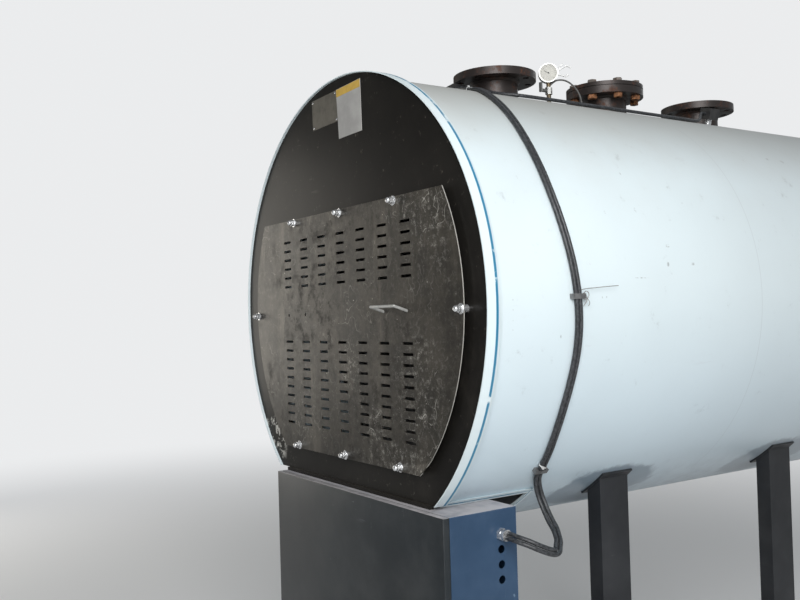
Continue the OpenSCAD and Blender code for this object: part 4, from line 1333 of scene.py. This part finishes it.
class BOILER_OT_nozzles(bpy.types.Operator):
    """Finishes the flanged nozzles and makes the blind flange's bolts"""
    bl_idname = "boiler.nozzles"
    bl_label = "Nozzles"

    def execute(self, context):
        dress(steel("flange_steel"), "nozzle_necks", "nozzle_flanges", "blind_flange")
        dress(plain("black_plastic"), "blind_flange_gasket")
        self.make_bolts()
        self.make_collars()
        return {"FINISHED"}

    def make_bolts(self):
        """Bolts with their heads on the blind flange and nuts under the nozzle's flange."""
        low = NOZZLE_H - FLANGE_T - BOLT_NUT_H
        upper = BOLT_NUT_H + FLANGE_T + GASKET_T + BLIND_T
        nuts = bmesh.new()
        heads = bmesh.new()
        for i in range(BOLT_COUNT):
            a = math.tau * (i + 0.5) / BOLT_COUNT
            x, y = BOLT_PCD_R * math.cos(a), BOLT_PCD_R * math.sin(a)
            base = Matrix.Translation(in_row((x, MIDDLE_NOZZLE + y, low)))
            append_mesh(nuts, thread_rod(BOLT_R, upper, BOLT_PITCH, 16), base)
            nut = hex_nut(BOLT_NUT_R, BOLT_NUT_H, 1.6)
            append_mesh(nuts, nut, base @ Matrix.Rotation(0.7 * i, 4, "Z"))
            head = hex_nut(BOLT_NUT_R, BOLT_HEAD_H, 1.6)
            lift = Matrix.Translation((0, 0, upper * MM)) @ Matrix.Rotation(0.7 * i + 0.9, 4, "Z")
            append_mesh(heads, head, base @ lift)
        for row, bm, finish in (("nuts", nuts, "rusty_bolts"), ("heads", heads, "dull_bolts")):
            piece = finish_piece(f"blind_flange_bolt_{row}", bm, steel(finish), 28)
            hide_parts("blind_flange_bolts")

    def make_collars(self):
        """A sealing bead where a neck passes the cladding, and the weld under its flange."""
        beads = bmesh.new()
        welds = bmesh.new()
        r = NECK_R
        for y in (MAIN_NOZZLES[0], MIDDLE_NOZZLE, MAIN_NOZZLES[1]):
            weld = lathe([(r, -8), (r + 3, -6), (r + 6, -3), (r + 8, 0), (r, 0)], 96)
            append_mesh(welds, weld, Matrix.Translation(in_row((0, y, NOZZLE_H - FLANGE_T))))
            bead = lathe([(r, -14), (r + 6, -14), (r + 5, 3), (r + 2, 6), (r, 7)], 64)
            for vert in bead.verts:
                vert.co.z += math.sqrt(CLADDING_R ** 2 - (vert.co.x / MM) ** 2) * MM
            append_mesh(beads, bead, Matrix.Translation(in_row((0, y, 0))))
        finish_piece("flange_welds", welds, steel("flange_steel"), 40)
        finish_piece("neck_sealant", beads, plain("grey_sealant"))


class BOILER_OT_instruments(bpy.types.Operator):
    """Makes the gauge's dial and finishes the sensors"""
    bl_idname = "boiler.instruments"
    bl_label = "Instruments"

    def execute(self, context):
        dress(plain("gauge_metal"), "gauge_case", "gauge_cock")
        dress(plain("gauge_brass"), "gauge_stem")
        dress(plain("bright_zinc"), "sensor_pockets")
        dress(plain("black_plastic"), "sensor_heads")
        self.make_dial()
        self.make_strands()
        return {"FINISHED"}

    def make_strands(self):
        """Loose ends of sealing tape at the gauge, and a thin tube curving down to the shell."""
        strands = [(f"sealing_tape_{index + 1}", points, "sealing_tape", 5, 2)
                   for index, points in enumerate(TAPE_ENDS)]
        strands.append(("thin_tube_line", THIN_TUBE, "thin_tube", 6, 3))
        axis = Vector((0, GAUGE_Y, GAUGE_H))
        for name, strand, finish, per_span, resolution in strands:
            points = [in_row(axis + Vector(ACROSS) * s + Vector((0, 0, h))) for s, h in strand]
            tube_curve(name, smooth_line(points, per_span), TAPE_R * MM, plain(finish),
                       resolution)

    def make_dial(self):
        """A white dial with plain ticks and a needle."""
        turn = math.radians(GAUGE_TURN)
        normal = Vector((math.sin(turn), -math.cos(turn), 0))
        right = Vector((math.cos(turn), math.sin(turn), 0))
        middle = in_row((0, GAUGE_Y, GAUGE_H))
        front = basis(right, Vector((0, 0, 1)), normal, middle + normal * (GAUGE_T / 2 - 4) * MM)
        r = GAUGE_R - 4
        disc = lathe([(0, 0), (r, 0), (r, 0.6), (0, 0.6)])
        finish_piece("gauge_dial", moved(disc, front), plain("dial_white"))
        marks = bmesh.new()
        for i in range(DIAL_MARKS):
            a = math.radians(DIAL_START - DIAL_STEP * i)
            size = (3, 0.4, 0.3) if i % 3 else (5, 0.8, 0.3)
            append_mesh(marks, block(size, (0.8 * r, 0, 0.75)), Matrix.Rotation(a, 4, "Z"))
        needle = block((0.75 * r, 1.1, 0.5), (0.22 * r, 0, 2.0))
        append_mesh(marks, needle, Matrix.Rotation(math.radians(NEEDLE_TURN), 4, "Z"))
        append_mesh(marks, lathe([(0, 0.6), (2.6, 0.6), (2.4, 2.6), (0, 2.8)], 20))
        finish_piece("gauge_marks", moved(marks, front), plain("black_plastic"))


class BOILER_PT_panel(bpy.types.Panel):
    bl_label = "Industrial Boiler"
    bl_idname = "BOILER_PT_panel"
    bl_space_type = "VIEW_3D"
    bl_region_type = "UI"
    bl_category = "Boiler"

    def draw(self, context):
        scene = context.scene
        for group in (scene.boiler_stage, scene.boiler_sheets, scene.boiler_front,
                      scene.boiler_cabinet, scene.boiler_cables):
            box = self.layout.box()
            for name in group.__annotations__:
                box.prop(group, name)
        for operator in OPERATORS:
            self.layout.operator(operator.bl_idname)


SETTINGS = {
    "boiler_stage": BoilerStageSettings,
    "boiler_sheets": BoilerSheetSettings,
    "boiler_front": BoilerFrontSettings,
    "boiler_cabinet": BoilerCabinetSettings,
    "boiler_cables": BoilerCableSettings,
}
OPERATORS = (BOILER_OT_stage, BOILER_OT_cables, BOILER_OT_cladding, BOILER_OT_front,
             BOILER_OT_cabinet, BOILER_OT_legs, BOILER_OT_nozzles, BOILER_OT_instruments)
CLASSES = tuple(SETTINGS.values()) + OPERATORS + (BOILER_PT_panel,)


def register():
    for cls in CLASSES:
        bpy.utils.register_class(cls)
    for name, cls in SETTINGS.items():
        setattr(bpy.types.Scene, name, bpy.props.PointerProperty(type=cls))


def unregister():
    for name in SETTINGS:
        delattr(bpy.types.Scene, name)
    for cls in reversed(CLASSES):
        bpy.utils.unregister_class(cls)


def main():
    register()
    bpy.ops.boiler.stage()
    bpy.ops.boiler.cables()
    bpy.ops.boiler.cladding()
    bpy.ops.boiler.front()
    bpy.ops.boiler.cabinet()
    bpy.ops.boiler.legs()
    bpy.ops.boiler.nozzles()
    bpy.ops.boiler.instruments()


if __name__ == "__main__":
    main()
